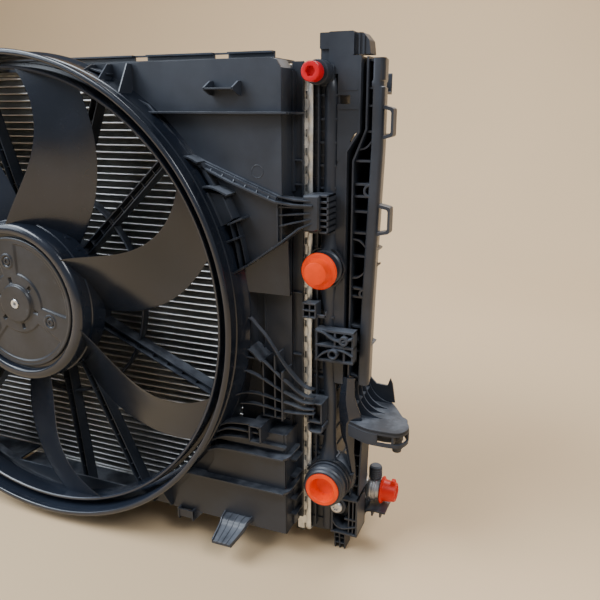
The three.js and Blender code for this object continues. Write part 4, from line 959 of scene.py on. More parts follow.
def shelf(shape, z, start, drop):
    """Ledge round the lower boxes: it rises from the collar, runs level, turns the corner and
    goes back to the flange."""
    side = SHROUD_SIDE + 3
    level = smooth([(start[0], start[1]), (start[0] + 12, z - 1.4), (start[0] + 26, z), (250, z)],
                   5)
    shape.rib(np.vstack([level, [(side + 1, z)]]), -62, ROOT, 2.2)
    corner = [(side - 3, FACE - 12), (side + 3, FACE - 9), (side + 5.5, FACE - 2),
              (side + 5.5, -24), (side - 4, -24), (side - 4, FACE)]
    shape.prism(rounded(corner, 4, 4), z - 1.1, z + 1.1, "z")
    shape.rib([(start[0] + 20, z - drop), (side, z - drop)], FACE - 2.4, ROOT, 2, 0.6)


def lower_boxes(boxes):
    """Two stepped boxes under the pocket, with a ledge on top of each, ending in the lower edge."""
    side = SHROUD_SIDE + 3
    outline = np.vstack([
        arc((0, 0), THROAT, angle_at(SHROUD_BOTTOM + 1.2), angle_at(-118), 18),
        [(side - 3, -118), (side - 3, -139), (side, -140), (side, SHROUD_BOTTOM)]])
    plate(boxes, outline)
    for z0, z1 in ((-139.5, SHROUD_BOTTOM), (-118, -140)):
        boxes.rib([(side - 1.3, z0), (side - 1.3, z1)], FACE + 0.5, FLANGE_FACE, SHELL, 1)
    boxes.rib([(86, SHROUD_BOTTOM + 1.2), (side, SHROUD_BOTTOM + 1.2)], FACE + 0.5, -3, SHELL, 1)
    # Tray under the core behind the collar, and the lip in front of it.
    boxes.block(0, 96, FACE + 3, -1, -244, -242)
    lip = np.vstack([arc((0, 0), THROAT - 1, 270, 293.4, 12), [(0, -225.4)]])
    boxes.prism(lip, FACE + 3, FACE + 5)
    shelf(boxes, -139.8, (203.4, -146), 4)
    shelf(boxes, -178.6, (163.5, -189), 4)
    boxes.prism(rounded([(206, -143), (side - 0.5, -143), (side - 0.5, -177.5), (196, -177.5),
                         (206, -160)], 2, 3), FACE - 3, ROOT)
    boxes.prism(rounded([(178, -183), (side - 0.5, -182), (side - 0.5, SHROUD_BOTTOM + 0.5),
                         (150, SHROUD_BOTTOM + 0.5), (160, -204)], 2, 3), FACE - 1.5, ROOT)
    for z in (-150, -170, -196, -214):
        boxes.rib([(side - 0.5, z), (side + 6.5, z)], -40, FLANGE_FACE, 1.8)
    boxes.rib([(side + 1, -182), (side + 1, SHROUD_BOTTOM + 2)], -34, FLANGE_FACE, 3, 0.7)
    # Small clip at the lower edge.
    for x in (160.5, 178):
        boxes.prism([(x - 1, -228), (x + 1, -228), (x + 1, -241), (x - 1, -238)], -58, FACE + 2)
    boxes.block(160, 179, -57, -55, -238, -229)
    boxes.prism([(178, -230), (188, -231.5), (179, -241)], -52, -50)


def panel_frame(frame_part):
    """Flange on the header, and the sealing lip with its windows above the core."""
    frame_part.block(SHROUD_SIDE - 1.5, SHROUD_SIDE + 9.5, FLANGE_FACE, FLANGE_FACE + SHELL,
                     SHROUD_BOTTOM + 4, SHROUD_TOP - 2)
    frame_part.rib([(SHROUD_SIDE + 8.6, SHROUD_TOP - 3), (SHROUD_SIDE + 8.6, SHROUD_BOTTOM + 5)],
                   FLANGE_FACE - 1.2, FLANGE_FACE + 1, 1.6)
    for z in (150, 128, -40, 24):
        frame_part.rib([(SHROUD_SIDE - 0.5, z), (SHROUD_SIDE + 9, z)], FLANGE_FACE - 4,
                       FLANGE_FACE + 1, 1.5)
    top = SHROUD_TOP
    back = -2
    edges = [0, 105, 120, 196, 211, SHROUD_SIDE - 26]
    frame_part.block(0, edges[-1], back - SHELL, back, top - 4, top + 2)
    for start, end in zip(edges[::2], edges[1::2]):
        frame_part.block(start, end, back - SHELL, back, top + 1.5, top + 8.8)
        frame_part.block(start + 0.5, end - 0.5, back - 6.5, back, top + 7.2, top + 9)
    frame_part.block(0, edges[-1], back - SHELL + 0.4, back - 0.4, top + 7, top + 8.8)


def upper_gussets(panel):
    """Short walls between the collar and the top and bottom walls of the shroud."""
    for x in (76, 92, 110, 132):
        panel.rib([(x, rim_at(x) + 0.5), (x, SHROUD_TOP - 2)], (-72, -56), ROOT, 1.8)
    panel.rib([(88, rim_at(88) + 3), (112, rim_at(112) + 7)], -60, ROOT, 2)
    for x in (98, 124, 146):
        panel.rib([(x, -rim_at(x) - 0.5), (x + 3, SHROUD_BOTTOM + 2)], (-70, -54), ROOT, 1.8)


def shroud_side():
    """One half of the shroud, everything but the collar."""
    half = Shape()
    for part in (upper_panel, upper_details, middle_pocket, lower_boxes, panel_frame,
                 upper_gussets):
        part(half)
    return half


def tongue_shape():
    """Folded tongue that narrows to its lip: a stepped sheet, raised sides and three low ribs."""
    low, high = span("shroud_tongue_right")
    root, back = high[2], high[1]
    over = smooth([(0, 0), (-10, -2), (-16, -7), (-34, -14)], 4)
    under = smooth([(0, -5), (-8, -6), (-14, -10.5), (-34, -17)], 4)
    narrow = -over[:, 0] / 34
    left, right = low[0] + 2 * narrow, high[0] - 10 * narrow

    def across(x, line):
        return np.stack([x, back + line[:, 0], root + line[:, 1]], axis=1)

    tongue = Shape().tube(np.stack([across(left, over), across(right, over),
                                    across(right, under), across(left, under)], axis=1))
    for share, rise in ((0.04, 1.8), (0.96, 1.8), (0.28, 0.7), (0.5, 0.7), (0.72, 0.7)):
        x = left + (right - left) * share
        crest = over + (0, rise)
        tongue.tube(np.stack([across(x - 0.8, crest), across(x + 0.8, crest),
                              across(x + 0.8, over - (0, 1)), across(x - 0.8, over - (0, 1))],
                             axis=1))
    return tongue


# ------------------------------------------------------------------------------ tanks and ports
TANK_FOOT = TANK_LOW[0]
TANK_OUT = 325
TANK_BACK = -12
TANK_FRONT = 44
CARRIER_X = 327.5
CARRIER_BACK = -16
CARRIER_FRONT = 44
CARRIER_TOP = 239
CARRIER_FOOT = -68
WING_TOP = -105
LEG_LOW = -194
BRACKET_FRONT = 8
BRACKET_SCREW = (333, -204.8)
ISOLATOR = (388, 4)
FITTING = (30, -207)
CHARGING_X = 360
GROUND = -265
LATCH_BACK = -18.6
TANK_SEAM = [(308, -236), (308, 222)]


def tank_shell(shape):
    """Tank wall with its crimp foot, and the stiffening ribs round it."""
    low, high = TANK_LOW[2], HEADER_HIGH[2] - 2.3
    x, corner = TANK_OUT, 9
    outline = np.vstack([
        [(TANK_FOOT, TANK_BACK)], arc((x - corner, TANK_BACK + corner), corner, -90, 0, 6),
        arc((x - corner, TANK_FRONT - corner), corner, 0, 90, 6), [(TANK_FOOT, TANK_FRONT)]])
    shape.prism(outline, low, high, "z")
    shape.block(TANK_FOOT, TANK_FOOT + 4, HEADER_LOW[1] + 2.3, HEADER_HIGH[1] - 2.3, low, high)
    raised = outline + np.sign(outline - outline.mean(axis=0)) * (0.0, 1.6)
    raised[:, 0] = np.minimum(raised[:, 0], x + 1.4) + (raised[:, 0] > x - corner) * 1.4
    for z in np.linspace(low + 14, high - 14, 22):
        shape.prism(raised, z - 0.9, z + 0.9, "z")
    return shape


def neck(shape, port, outside, bore, end, start, bead):
    """Hose neck with a retaining bead behind its end, a chamfered mouth and an open bore."""
    shape.turned([
        (bore, start), (bore, end + 0.8), (bore + 0.8, end), (outside - 1.6, end),
        (outside, end + 1.6), (outside, end + 4.4), (outside + bead, end + 6),
        (outside + bead, end + 8), (outside, end + 9), (outside, start)], port, segments=64)


def tank_right_shape():
    """Tank with the upright column in front of it and three necks."""
    tank = tank_shell(Shape())
    # Column that carries the bleed channel: domed at the top, swollen round the ports.
    z = np.concatenate([np.linspace(-236, -200, 10), np.linspace(-196, 30, 57),
                        np.linspace(34, 214, 40)])
    upper = np.exp(-((z - UPPER_PORT[1]) / 20) ** 2)
    lower = np.exp(-((z - LOWER_PORT[1]) / 26) ** 2)
    radius = 6.2 + 5.5 * upper + 7.5 * lower
    depth = TANK_BACK - 1.5 - 3 * upper - 4 * lower
    shift = np.interp(z, (-90, -40), (3, 0))
    path = np.stack([318.6 + shift - 1.2 * upper, depth, z], axis=1)
    path = np.vstack([path, [(318, -13, 220), (316, -12.5, 225)]])
    tank.pipe(path, np.append(radius, [4.8, 2.4]), 28)
    for heights, inner, outer in (
            (np.arange(-150, 20, 21.5), (304, TANK_BACK - 4), (325.5, TANK_BACK - 6.5)),
            (np.arange(84, 208, 20.5), (304, TANK_BACK - 3.4), (325, TANK_BACK - 5.5))):
        outline = rounded([inner, outer, (326.4, TANK_BACK + 6), (304, TANK_BACK + 6)], 2, 3)
        for z in heights:
            tank.prism(outline, z - 1, z + 1, "z")
    tank.rib(TANK_SEAM, HEADER_LOW[1] - 0.6, TANK_BACK + 1, 1.6)
    neck(tank, UPPER_PORT, 11.2, 8.5, -41, TANK_BACK - 1, 1.0)
    tank.turned([(11, -26), (16, -25.4), (17.4, -24), (17.4, -14), (18, -10), (11, -9)],
                UPPER_PORT, segments=64)
    neck(tank, LOWER_PORT, 20.5, 14.6, -44, 2, 1.4)
    tank.turned([(20.3, -30), (22.4, -30), (22.4, -27.4), (20.3, -27.4)], LOWER_PORT, segments=64)
    tank.turned([(20, -20), (23.5, -19.2), (25.4, -16), (26, -6), (20, 2)], LOWER_PORT, segments=64)
    for angle in (20, 75, 160, 215, 290):
        way, _ = heading(angle)
        tank.rib([LOWER_PORT + way * 21, LOWER_PORT + way * 27], -21, -9, 2)
    neck(tank, BLEED_PORT, 7, 4.3, -40, TANK_BACK - 1, 0.6)
    tank.turned([(6.8, -31), (10.2, -31), (10.8, -30), (10.8, -18.4), (6.8, -18)], BLEED_PORT,
                segments=40)
    tank.prism(rounded([(300, 217), (314, 214), (322, 219), (322, 233), (300, 235)], 3, 3),
               -18.3, -12.5)
    return tank


def tank_left_shape():
    tank = tank_shell(Shape())
    tank.turned([(5.3, -20), (9.2, -20), (10, -19.2), (10, -11), (5.3, -11)],
                DRAIN_PORT, segments=40)
    tank.rib(TANK_SEAM, HEADER_LOW[1] - 0.6, TANK_BACK + 1, 1.6)
    return tank.mirrored()


def cap_cup(port, brim, end):
    """Tapered cup with a thick rolled brim: open where end is +1, closed towards you at -1."""
    deep, y = 13, brim
    return Shape().turned([
        (0, y + end * deep), (9.6, y + end * deep), (10.6, y + end * (deep - 0.4)),
        (11, y + end * (deep - 1.4)), (12.4, y + end * 4.4), (13, y + end * 3.6),
        (16.4, y + end * 3.2), (17.3, y + end * 2.3), (17.5, y + end * 1.2), (16.9, y + end * 0.2),
        (15.6, y), (13.4, y), (12.9, y + end * 0.6), (12.4, y + end * 3),
        (9.6, y + end * (deep - 2)), (8.8, y + end * (deep - 1.5)), (0, y + end * (deep - 1.5))],
        port, segments=96)


def bleed_cap_shape():
    """Push-on cap: round skirt, a raised rim and a six-sided socket in its face."""
    tip = -42.3
    cap = Shape().turned([
        (7.3, tip + 2), (0.2, tip + 2), (0.2, tip - 0.6), (4.2, tip - 0.6),
        (4.6, tip - 4.6), (7.4, -47.2), (8, -47), (8.5, -46.2), (8.6, -44), (8.3, -42), (8.6, -40),
        (8.6, -35.4), (8.2, -34.6), (7.3, -34.6)], BLEED_PORT, segments=72)
    for k in range(6):
        way, side = heading(60 * k + 30)
        spot = BLEED_PORT + way * 4.3
        cap.rib([spot - side * 2.2, spot + side * 2.2], -46.6, -42.5, 0.8)
    return cap


def clip_shape(port, radius, y0, thick, waves):
    """Flat spring clip: an open waved ring with bent feet."""
    ring = Shape()
    outline = np.array([(y0, radius + 0.4), (y0 + 3.8, radius + 0.4), (y0 + 3.8, radius + thick),
                        (y0, radius + thick)])
    turn = np.radians(np.linspace(200, 520, 97))
    wave = 0.5 * np.cos(waves * turn)
    sections = [np.stack([port[0] + (outline[:, 1] + w) * math.cos(a), outline[:, 0],
                          port[1] + (outline[:, 1] + w) * math.sin(a)], axis=1)
                for a, w in zip(turn, wave)]
    ring.tube(sections)
    for a in turn[[0, -1]]:
        way = np.array([math.cos(a), math.sin(a)])
        ring.rib([port + way * radius, port + way * (radius + thick + 1.6)], y0 - 0.6, y0 + 4, 1.6)
    return ring


def drain_tap_shape():
    port = (-DRAIN_PORT[0], DRAIN_PORT[1])
    tap = Shape().turned([(0, -24.3), (8.4, -24.3), (9, -23.7), (9, -20.9), (8.4, -20.3),
                          (5, -20.3), (5, -10.5), (4.4, -10), (0, -10)], port, segments=48)
    grip = rounded([(port[1] - 10, -34.3), (port[1] + 10, -34.3), (port[1] + 8, -23.8),
                    (port[1] - 8, -23.8)], 3, 4)
    tap.tube([spread(grip[:, ::-1], port[0] + side, "x") for side in (-2, 2)])
    return tap


# ------------------------------------------------------------------------------ latches
def upper_latch():
    """Hooded catch: a flat-faced block, slots at its outer side and a gusset below."""
    latch = Shape()
    face = rounded([(302, 121), (318, 121.6), (318, 90), (314, 88), (302, 88)], 1.6, 3)
    inner = rounded([(303.4, 119.6), (316.6, 120.2), (316.6, 91), (313.4, 89.4), (303.4, 89.4)],
                    1.6, 3)
    latch.tube([spread(face, LATCH_BACK, "y"), spread(face, -41.6, "y"), spread(inner, -43.4, "y")])
    for z in np.linspace(87.4, 120.4, 7):
        latch.block(317, 325.8, -39, LATCH_BACK, z - 1, z + 1)
    latch.block(323.9, 325.8, -39, LATCH_BACK, 86.5, 121.4)
    latch.block(317, 325, -22, LATCH_BACK, 86.5, 121)
    latch.prism([(302, 89), (317, 89), (312, 84.4), (304, 84.4)], -30, LATCH_BACK)
    return latch


def lower_latch():
    """Flange, a framed cell under it that the curved ribs run into, and a rounded hook below."""
    latch = Shape()
    latch.block(301.3, 321.6, -40, LATCH_BACK, -84, -82.4)
    latch.block(304, 320.5, -24, LATCH_BACK, -106, -83)
    for x in (305.2, 319.4):
        latch.block(x - 0.9, x + 0.9, -36, LATCH_BACK, -106, -83)
    for x0, x1, z in ((304.4, 320.2, -105.2), (301.3, 306, -95), (301.3, 306, -89.4)):
        latch.block(x0, x1, -36, LATCH_BACK, z - 0.9, z + 0.9)
    latch.block(309, 310.4, -33, -23, -103, -86)
    latch.block(306, 320, -22, LATCH_BACK, -117.6, -105)
    hook = smooth([(305.4, -109), (306.6, -115.6), (313, -117), (319.4, -115.6), (320.6, -109)], 5)
    latch.rib(hook, -35, LATCH_BACK, 2)
    return latch


def cable_clip_shape():
    clip = Shape()
    clip.block(298.4, 311.6, -22, LATCH_BACK, 2.4, 17.6)
    for z in (3.2, 10, 16.8):
        clip.block(298.4, 312, -34, LATCH_BACK, z - 0.8, z + 0.8)
    for x in (299.2, 305.6, 311.4):
        clip.block(x - 0.8, x + 0.8, -33.4, LATCH_BACK, 2.4, 17.4)
    clip.block(311, 321.8, -30, -27.4, 3, 6)
    clip.prism([(319, 3), (321.9, 4), (321.9, 9.6), (320.4, 9.6), (320, 6)], -30, -27.4)
    return clip


def tank_bracket_shape():
    """Two rows of three cells between the tank and the carrier, two sockets and rounded hooks."""
    z0, z1 = -40.8, -8.2
    bracket = Shape().block(310.4, 349.3, LATCH_BACK, -16.4, z0, z1)
    for z in (z0 + 1.2, -24.6, z1 - 1.2):
        bracket.block(310.4, 349.3, -30.4, -16.4, z - 1.2, z + 1.2)
    for x in (311.6, 330.4, 339.8, 348.2):
        bracket.block(x - 1.1, x + 1.1, -29.8, -16.4, z0 + 0.4, z1 - 0.4)
    bracket.block(310.4, 326.4, -17.5, -12.4, z0 + 1, z1 - 1)
    bracket.turned([(3, -19), (3, -35.2), (3.5, -35.8), (4.6, -35.8), (5, -35.2), (5, -18)],
                   (330, -31), segments=48)
    bracket.turned([(2.2, -24), (2.2, -33.6), (4.6, -33.6), (4.6, -24)], (340, -17), segments=32)
    hook = smooth([(312, -9.2), (320, -11), (329, -16.4), (338, -17.6), (348.6, -14)], 5)
    bracket.rib(hook, -33, -17, 2.2)
    hook = smooth([(311, -40), (318, -33), (329, -27.5), (340, -28), (349, -32)], 5)
    bracket.rib(hook, -32, -17, 2)
    return bracket


# ------------------------------------------------------------------------------ carriers
def column_at(z):
    """X of the outer column's face at a height."""
    return np.interp(z, (-68, -35, 15, 100, 160), (359.5, 360, 361, 364, 366))


def carrier_shape():
    """Upright channel: front plate, long walls, leaning column, cross ribs, cable loops and the
    top block."""
    carrier = Shape()
    top, low = CARRIER_TOP, CARRIER_FOOT
    back, front = CARRIER_BACK, CARRIER_FRONT
    face = back + 2.5
    left, edge, inner, outer = CARRIER_X - 2.5, 345.3, 334, 339.5
    # Front plate round its window, with a slit where it steps inwards.
    plates = (
        [(316, top + 1), (edge, top + 1), (edge, 225), (316, 225)],
        [(left, 225), (edge, 225), (edge, 207), (left, 207)],
        [(336.6, 207), (edge, 207), (edge, 199.6), (336.6, 199.6)],
        [(left, 199.6), (edge, 199.6), (edge, 177), (340, 173), (327.5, 150), (left, 150)],
        [(left - 1, low), (inner, low), (inner, 158.5), (338.5, 166), (337, 167.5), (left, 146),
         (left - 1, 146)])
    for outline in plates:
        carrier.prism(outline, back, face)
    carrier.block(left, edge, back - 0.8, back + 9, 195, 199.6)
    carrier.rib([(left, 211.6), (edge - 2, 211.6)], back - 0.4, back + 12, 1.6)
    carrier.rib([(left + 1, 224), (left + 1, low)], back + 1, back + 20, 2)
    carrier.rib([(edge, top), (edge, 176), (inner, 158.5), (inner, low)], back - 0.6, front, 2.4)
    carrier.rib([(351, top), (351, 178), (outer, 150), (outer, low)], back + 3, front, 2)
    # Leaning outer column with a rounded nose.
    section = rounded([(-10.5, 4), (-2, 3.4), (0, 8), (-5, 36), (-14, 60), (-16.6, 60), (-7.6, 36),
                       (-3, 9), (-4.4, 6.6), (-10.5, 6.6)], 2, 3) + (0, back)
    heights = np.array([low, -35, 15, 100, 160, 213.5, 214.5, 218.5, 219.5, top - 1])
    jog = np.array([0, 0, 0, 0, 0, 0, 1.2, 1.2, 0, 0])
    carrier.tube([spread(section + (column_at(z) - step, 0), z, "z")
                  for z, step in zip(heights, jog)])
    carrier.prism([(inner, low), (344.5, low), (350.5, 160), (350.5, top), (inner, top)],
                  front - 2.5, front)
    # Cross ribs, some doubled with a rounded end between them.
    for z in (236, 213, 198, 176, 150, 129, 118, 104, 84, 62, 30, 22, -8, -33, -60):
        start = np.interp(z, (150, 178), (outer, 351))
        end = column_at(z) - 3
        floor = rounded([(start, back + 6), (end - 4, back + 5), (end, back + 9),
                         (end - 11, front - 1), (start, front - 1)], 3, 4)
        carrier.prism(floor, z - 0.9, z + 0.9, "z")
    for z0, z1 in ((118, 129), (22, 30)):
        carrier.ring((z1 - z0) / 2 - 1.4, (z1 - z0) / 2 + 0.8, back + 4, back + 24,
                     (column_at(z0) - 9, (z0 + z1) / 2), segments=32)
    # Curved guides across the channel.
    for z, reach in ((160, 10), (78, -9), (40, 8), (-20, -8)):
        start = np.interp(z, (150, 178), (outer, 351))
        room = column_at(z) - 2 - start
        line = smooth([(start, z), (start + room * 0.35, z + reach * 0.2),
                       (start + room * 0.7, z + reach), (start + room, z + reach * 1.3)], 5)
        carrier.rib(line, back + 6, back + 36, 1.8)
    # Cable loops outside.
    for z in (169, 82):
        x = column_at(z) - 2
        loop = rounded([(x, z), (374.6, z + 3), (374.6, z + 27), (x, z + 30)], 2, 3)
        hole = rounded([(x, z + 3), (372.4, z + 5.4), (372.4, z + 24.6), (x, z + 27)], 2, 3)
        ringed = np.stack([spread(loop, back + 6, "y"), spread(loop, back + 18, "y"),
                           spread(hole, back + 18, "y"), spread(hole, back + 6, "y")], axis=1)
        carrier.add(ringed, net(len(loop), 4, True, True))
    # Top block: a square face, a step on its inner side and a sloped outer side.
    carrier.prism(rounded([(316.3, 240), (339, 240), (339, 259.8), (316.3, 259.8)], 1.2, 3),
                  back, back + 30)
    carrier.prism(rounded([(306.6, 246), (317, 246), (317, 259.6), (306.6, 259.6)], 1, 3),
                  back + 3, back + 28)
    carrier.prism([(307, 234), (316, 234), (316, 247), (307, 247)], back + 5, back + 22)
    carrier.prism(rounded([(338, 241), (353, 241), (351.5, 252), (346, 258.6), (338, 258.6)], 1, 3),
                  back + 4, back + 22)
    for x, high in ((343, 258), (347, 256)):
        carrier.block(x - 0.7, x + 0.7, back + 2.8, back + 6, 241, high)
    return carrier


def wing_outline(inset=0.0):
    """Broad tapered plate seen from above, shrunk towards its middle by a share."""
    curve = np.vstack([
        [(CARRIER_X + 8, CARRIER_FRONT), (CARRIER_X + 8, CARRIER_BACK)],
        smooth([(361, -28), (371, -29.6), (392, -28.8), (400, -23), (402.8, -13), (400, -4),
                (391, 10), (377, 33), (366, 46)], 4),
        [(360, 63.5)]])
    middle = np.array([366, 4])
    return middle + (curve - middle) * (1 - inset)


def wing_shape():
    """Wing plate with its skirt, windows, gussets, back wall and boss, and the leg down to the
    bracket."""
    wing = Shape()
    top = WING_TOP
    wing.prism(wing_outline(), top - 2.6, top, "z")
    # Skirt: two bands all round, and between them a wall that leaves two windows open.
    for high, low in ((top - 1, top - 5), (top - 13, top - 16.8)):
        wing.add(np.stack([spread(wing_outline(), low, "z"), spread(wing_outline(), high, "z"),
                           spread(wing_outline(0.06), high, "z"),
                           spread(wing_outline(0.06), low, "z")],
                          axis=1), net(len(wing_outline()), 4, True, True))
    line = wing_outline(0.02)[1:]
    tip = np.argmax(line[:, 0])
    wing.rib(line[(line[:, 0] < 380) & (line[:, 1] < -10)], top - 14, top - 4, 2, 1, "z")
    wing.rib(line[tip:], top - 14, top - 4, 2, 1, "z")
    wing.block(389.6, 391.6, -28.4, -10, top - 14, top - 2)
    inside = np.stack([spread(wing_outline(share), z, "z") for share, z in (
        (0.22, top - 15), (0.22, top - 2), (0.27, top - 2), (0.27, top - 15))], axis=1)
    wing.add(inside, net(len(inside), 4, True, True))
    # Concave gussets under the carrier, webs between them and a back wall with a spike.
    curve = smooth([(347, -68.2), (347.5, -80), (350, -89), (355.5, -97), (364, -102.6),
                    (374, top)], 5)
    gusset = np.vstack([[(337, top), (337, -68.2)], curve])
    for y in (-2, 10, 22, 36):
        wing.prism(gusset, y - 1, y + 1)
    for x, z in ((340, -76), (344, -90)):
        wing.block(337, x + 5, -14, 36, z - 0.9, z + 0.9)
    wing.prism([(337, -68.2), (347, -68.2), (349, -80), (355, -86), (367, -86.6), (370, -78),
                (372.6, -84), (376, top), (337, top)], 38, 40.6)
    wing.rib([(CARRIER_X + 9, -68.4), (CARRIER_X + 10, top)], CARRIER_BACK, 40, 2.4)
    # Boss over the isolator.
    wing.turned([(3, top - 16.2), (9.4, top - 16.2), (9.8, top - 12), (9.8, top - 2.4),
                 (3, top - 2.4)],
                ISOLATOR, "z", 40)
    # Leg: two walls joined at the front of the car, open between them.
    leg_front = BRACKET_FRONT + 8
    z = np.linspace(top - 2, LEG_LOW, 24)
    left = np.interp(z, (LEG_LOW, -170, -155, -136, -117), (345, 346, 343.5, 340, 337))
    right = np.interp(z, (LEG_LOW, -150, -117), (353, 354, 355.5))
    left_line, right_line = np.stack([left, z], axis=1), np.stack([right, z], axis=1)
    wing.rib(left_line, CARRIER_BACK, leg_front, 2.2)
    wing.rib(right_line, -12, leg_front, 2.2)
    wing.prism(np.vstack([left_line, right_line[::-1]]), leg_front - 2.5, leg_front)
    for height in (-148, -160, -172, -184):
        wing.block(np.interp(height, z[::-1], left[::-1]), 353.5, -10, leg_front - 1, height - 0.9,
                   height + 0.9)
    return wing


def swept_panel():
    """Glossy S-curved panel from the carrier's foot to the bracket, over the tank's edge."""
    left = smooth([(334, -60), (331.3, -92), (334, -122), (339, -136), (343.5, -155), (347, -172)],
                  8)
    x, z = left[:, 0], left[:, 1]
    right = np.interp(z, (-172, -155, -140, -118, -108, -104, -97, -89, -80, -60),
                      (351, 350, 348.5, 348.5, 350, 356, 353.5, 350, 347.5, 347))
    bulge = np.sin(np.pi * np.linspace(0, 1, len(z)))
    skin = np.stack([np.stack([x, -15.6 + 0 * z, z], axis=1),
                     np.stack([(x + right) / 2, -18 - 3.5 * bulge, z], axis=1),
                     np.stack([right, -16 + 0 * z, z], axis=1)], axis=1)
    return Shape().tube(np.concatenate([skin, skin[:, ::-1] + (0, 2.2, 0)], axis=1))


def isolator_shape():
    top = WING_TOP - 16.3
    return Shape().turned([
        (0, top - 20.9), (3.6, top - 20.9), (4.6, top - 20), (4.8, top - 17), (6.1, top - 16),
        (6.1, top - 12), (5, top - 11), (5, top - 8), (6.1, top - 7), (6.1, top - 0.6),
        (5.5, top), (0, top)], ISOLATOR, "z", 48)


def lower_bracket_shape():
    """Block of open cells with a screw seat and the ribbed peg that stands in the car."""
    low, high = -237.8, -194.5
    bracket = Shape()
    bracket.block(326.2, 355.3, BRACKET_FRONT - 2.4, BRACKET_FRONT, low, high)
    for z in (low + 1.1, high - 1.1):
        bracket.block(326.2, 355.3, -21.6, BRACKET_FRONT, z - 1.1, z + 1.1)
    for x in (327.4, 354.2):
        bracket.block(x - 1.1, x + 1.1, -21, BRACKET_FRONT, low, high)
    bracket.block(341, 355, -20.4, BRACKET_FRONT, -220.2, -218.2)
    for x in (345.6, 350):
        bracket.block(x - 0.8, x + 0.8, -20, BRACKET_FRONT, low + 1, high - 1)
    bracket.turned([(3.4, -10), (3.4, -21.7), (9, -21.7), (9.6, -21), (10.2, 4), (3.4, 4)],
                   BRACKET_SCREW, segments=48)
    bracket.prism([(327, high - 1), (354, high - 1), (354, -226), (327, -226)], -6, -4)
    bracket.rib(smooth([(327.2, -222), (332, -229), (340, -231), (354, -226)], 5), -21.4, 4, 2)
    # Peg: tapered fins on a spine.
    bracket.prism([(326, low + 1), (340, low + 1), (338.6, GROUND + 3), (336.6, GROUND),
                   (329.4, GROUND), (327.4, GROUND + 3)], -2, 0)
    for x in (326.8, 333, 339.2):
        lean = (333 - x) * 0.14
        bracket.tube([[(x - 0.9, -12, low + 1), (x + 0.9, -12, low + 1),
                       (x + 0.9, 10, low + 1), (x - 0.9, 10, low + 1)],
                      [(x + lean - 0.8, -9, GROUND), (x + lean + 0.8, -9, GROUND),
                       (x + lean + 0.8, 7, GROUND), (x + lean - 0.8, 7, GROUND)]])
    for z in (-244, -251, -258):
        bracket.block(327, 339, -10, 8, z - 0.7, z + 0.7)
    return bracket


# ------------------------------------------------------------------------------ condenser side
def upright(node):
    """Axis, radius and both ends of an upright round node."""
    low, high = span(node)
    axis = ((low[0] + high[0]) / 2, (low[1] + high[1]) / 2)
    return axis, (high[0] - low[0]) / 2, low[2], high[2]


def drier_shape():
    axis, r, z0, z1 = upright("receiver_drier")
    return Shape().turned([
        (0, z0), (9, z0), (r - 2, z0 + 3), (r, z0 + 7), (r, z0 + 16), (r - 0.8, z0 + 17),
        (r - 0.8, z0 + 19), (r, z0 + 20), (r, z1 - 20), (r - 0.8, z1 - 19), (r - 0.8, z1 - 17),
        (r, z1 - 16), (r, z1 - 7), (r - 2, z1 - 3), (9, z1), (0, z1)], axis, "z", 64)


def upright_tube(node):
    axis, _, z0, z1 = upright(node)
    r = 10
    profile = [(0, z0), (7.4, z0), (8.4, z0 + 1), (r, z0 + 5)]
    for z in np.arange(z0 + 30, z1 - 20, 55):
        profile += [(r, z), (r - 0.6, z + 1), (r - 0.6, z + 3), (r, z + 4)]
    return Shape().turned(profile + [(r, z1 - 5), (8.4, z1 - 1), (7.4, z1), (0, z1)], axis, "z", 48)


def fitting_shape():
    """Bent pipe, flared union body, ring nut with flats and a charging stub."""
    plane, z = FITTING
    pipe = smooth([(299, 64, z), (315, 64, z), (327, 61, z), (337, 48, z), (346, 33, z),
                   (354, 30, z)], 8)
    fitting = Shape().pipe(pipe, 8, 32)
    fitting.pipe([pipe[22], pipe[24]], 9.6, 32)
    fitting.turned([(4.5, 351.8), (10, 351.8), (11, 352.6), (13, 354.6), (13.4, 355.4), (13.4, 357),
                    (12.8, 357.6), (13.4, 358.2), (13.4, 360), (12.8, 360.6), (13.4, 361.2),
                    (13.4, 362.4), (12, 363), (12, 366.4), (11.4, 367), (7.4, 367), (7, 367.4),
                    (7, 375.4), (6.4, 376), (4.5, 376)], FITTING, "x", 64)
    fitting.turned([(0, z + 2), (4, z + 2), (4, z + 16.6), (3.6, z + 17), (0, z + 17)],
                   (CHARGING_X, plane), "z", 32)
    return fitting


def fitting_cap_shape():
    """Stepped cap with a rounded brim, a recessed face and a finger tab."""
    x = 367.3
    cap = Shape().turned([
        (7.3, x), (13.8, x), (14.8, x + 0.6), (15, x + 1.4), (14.2, x + 2.4), (12.3, x + 2.8),
        (11.9, x + 4), (10.6, x + 15.2), (9.8, x + 16.6), (8.6, x + 17), (7.4, x + 16.8),
        (6.8, x + 15.6), (0.2, x + 15.4), (0.2, x + 9.4), (7.3, x + 9.4)], FITTING, "x", 72)
    cap.prism(rounded([(x + 10, FITTING[1] + 9.6), (x + 15.8, FITTING[1] + 9.6),
                       (x + 15, FITTING[1] + 14.4), (x + 11, FITTING[1] + 14.4)], 1, 3), 27, 33)
    return cap


def service_cap_shape():
    z = FITTING[1] + 13.8
    profile = [(0, z + 3.5), (4.3, z + 3.5), (4.3, z), (6.9, z), (7.2, z + 0.4)]
    for k in range(4):
        profile += [(7.2, z + 2.2 + 2.6 * k), (6.7, z + 2.8 + 2.6 * k), (7.2, z + 3.4 + 2.6 * k)]
    return Shape().turned(profile + [(6.6, z + 13.6), (5, z + 14.9), (0, z + 14.9)],
                          (CHARGING_X, FITTING[0]), "z", 48)


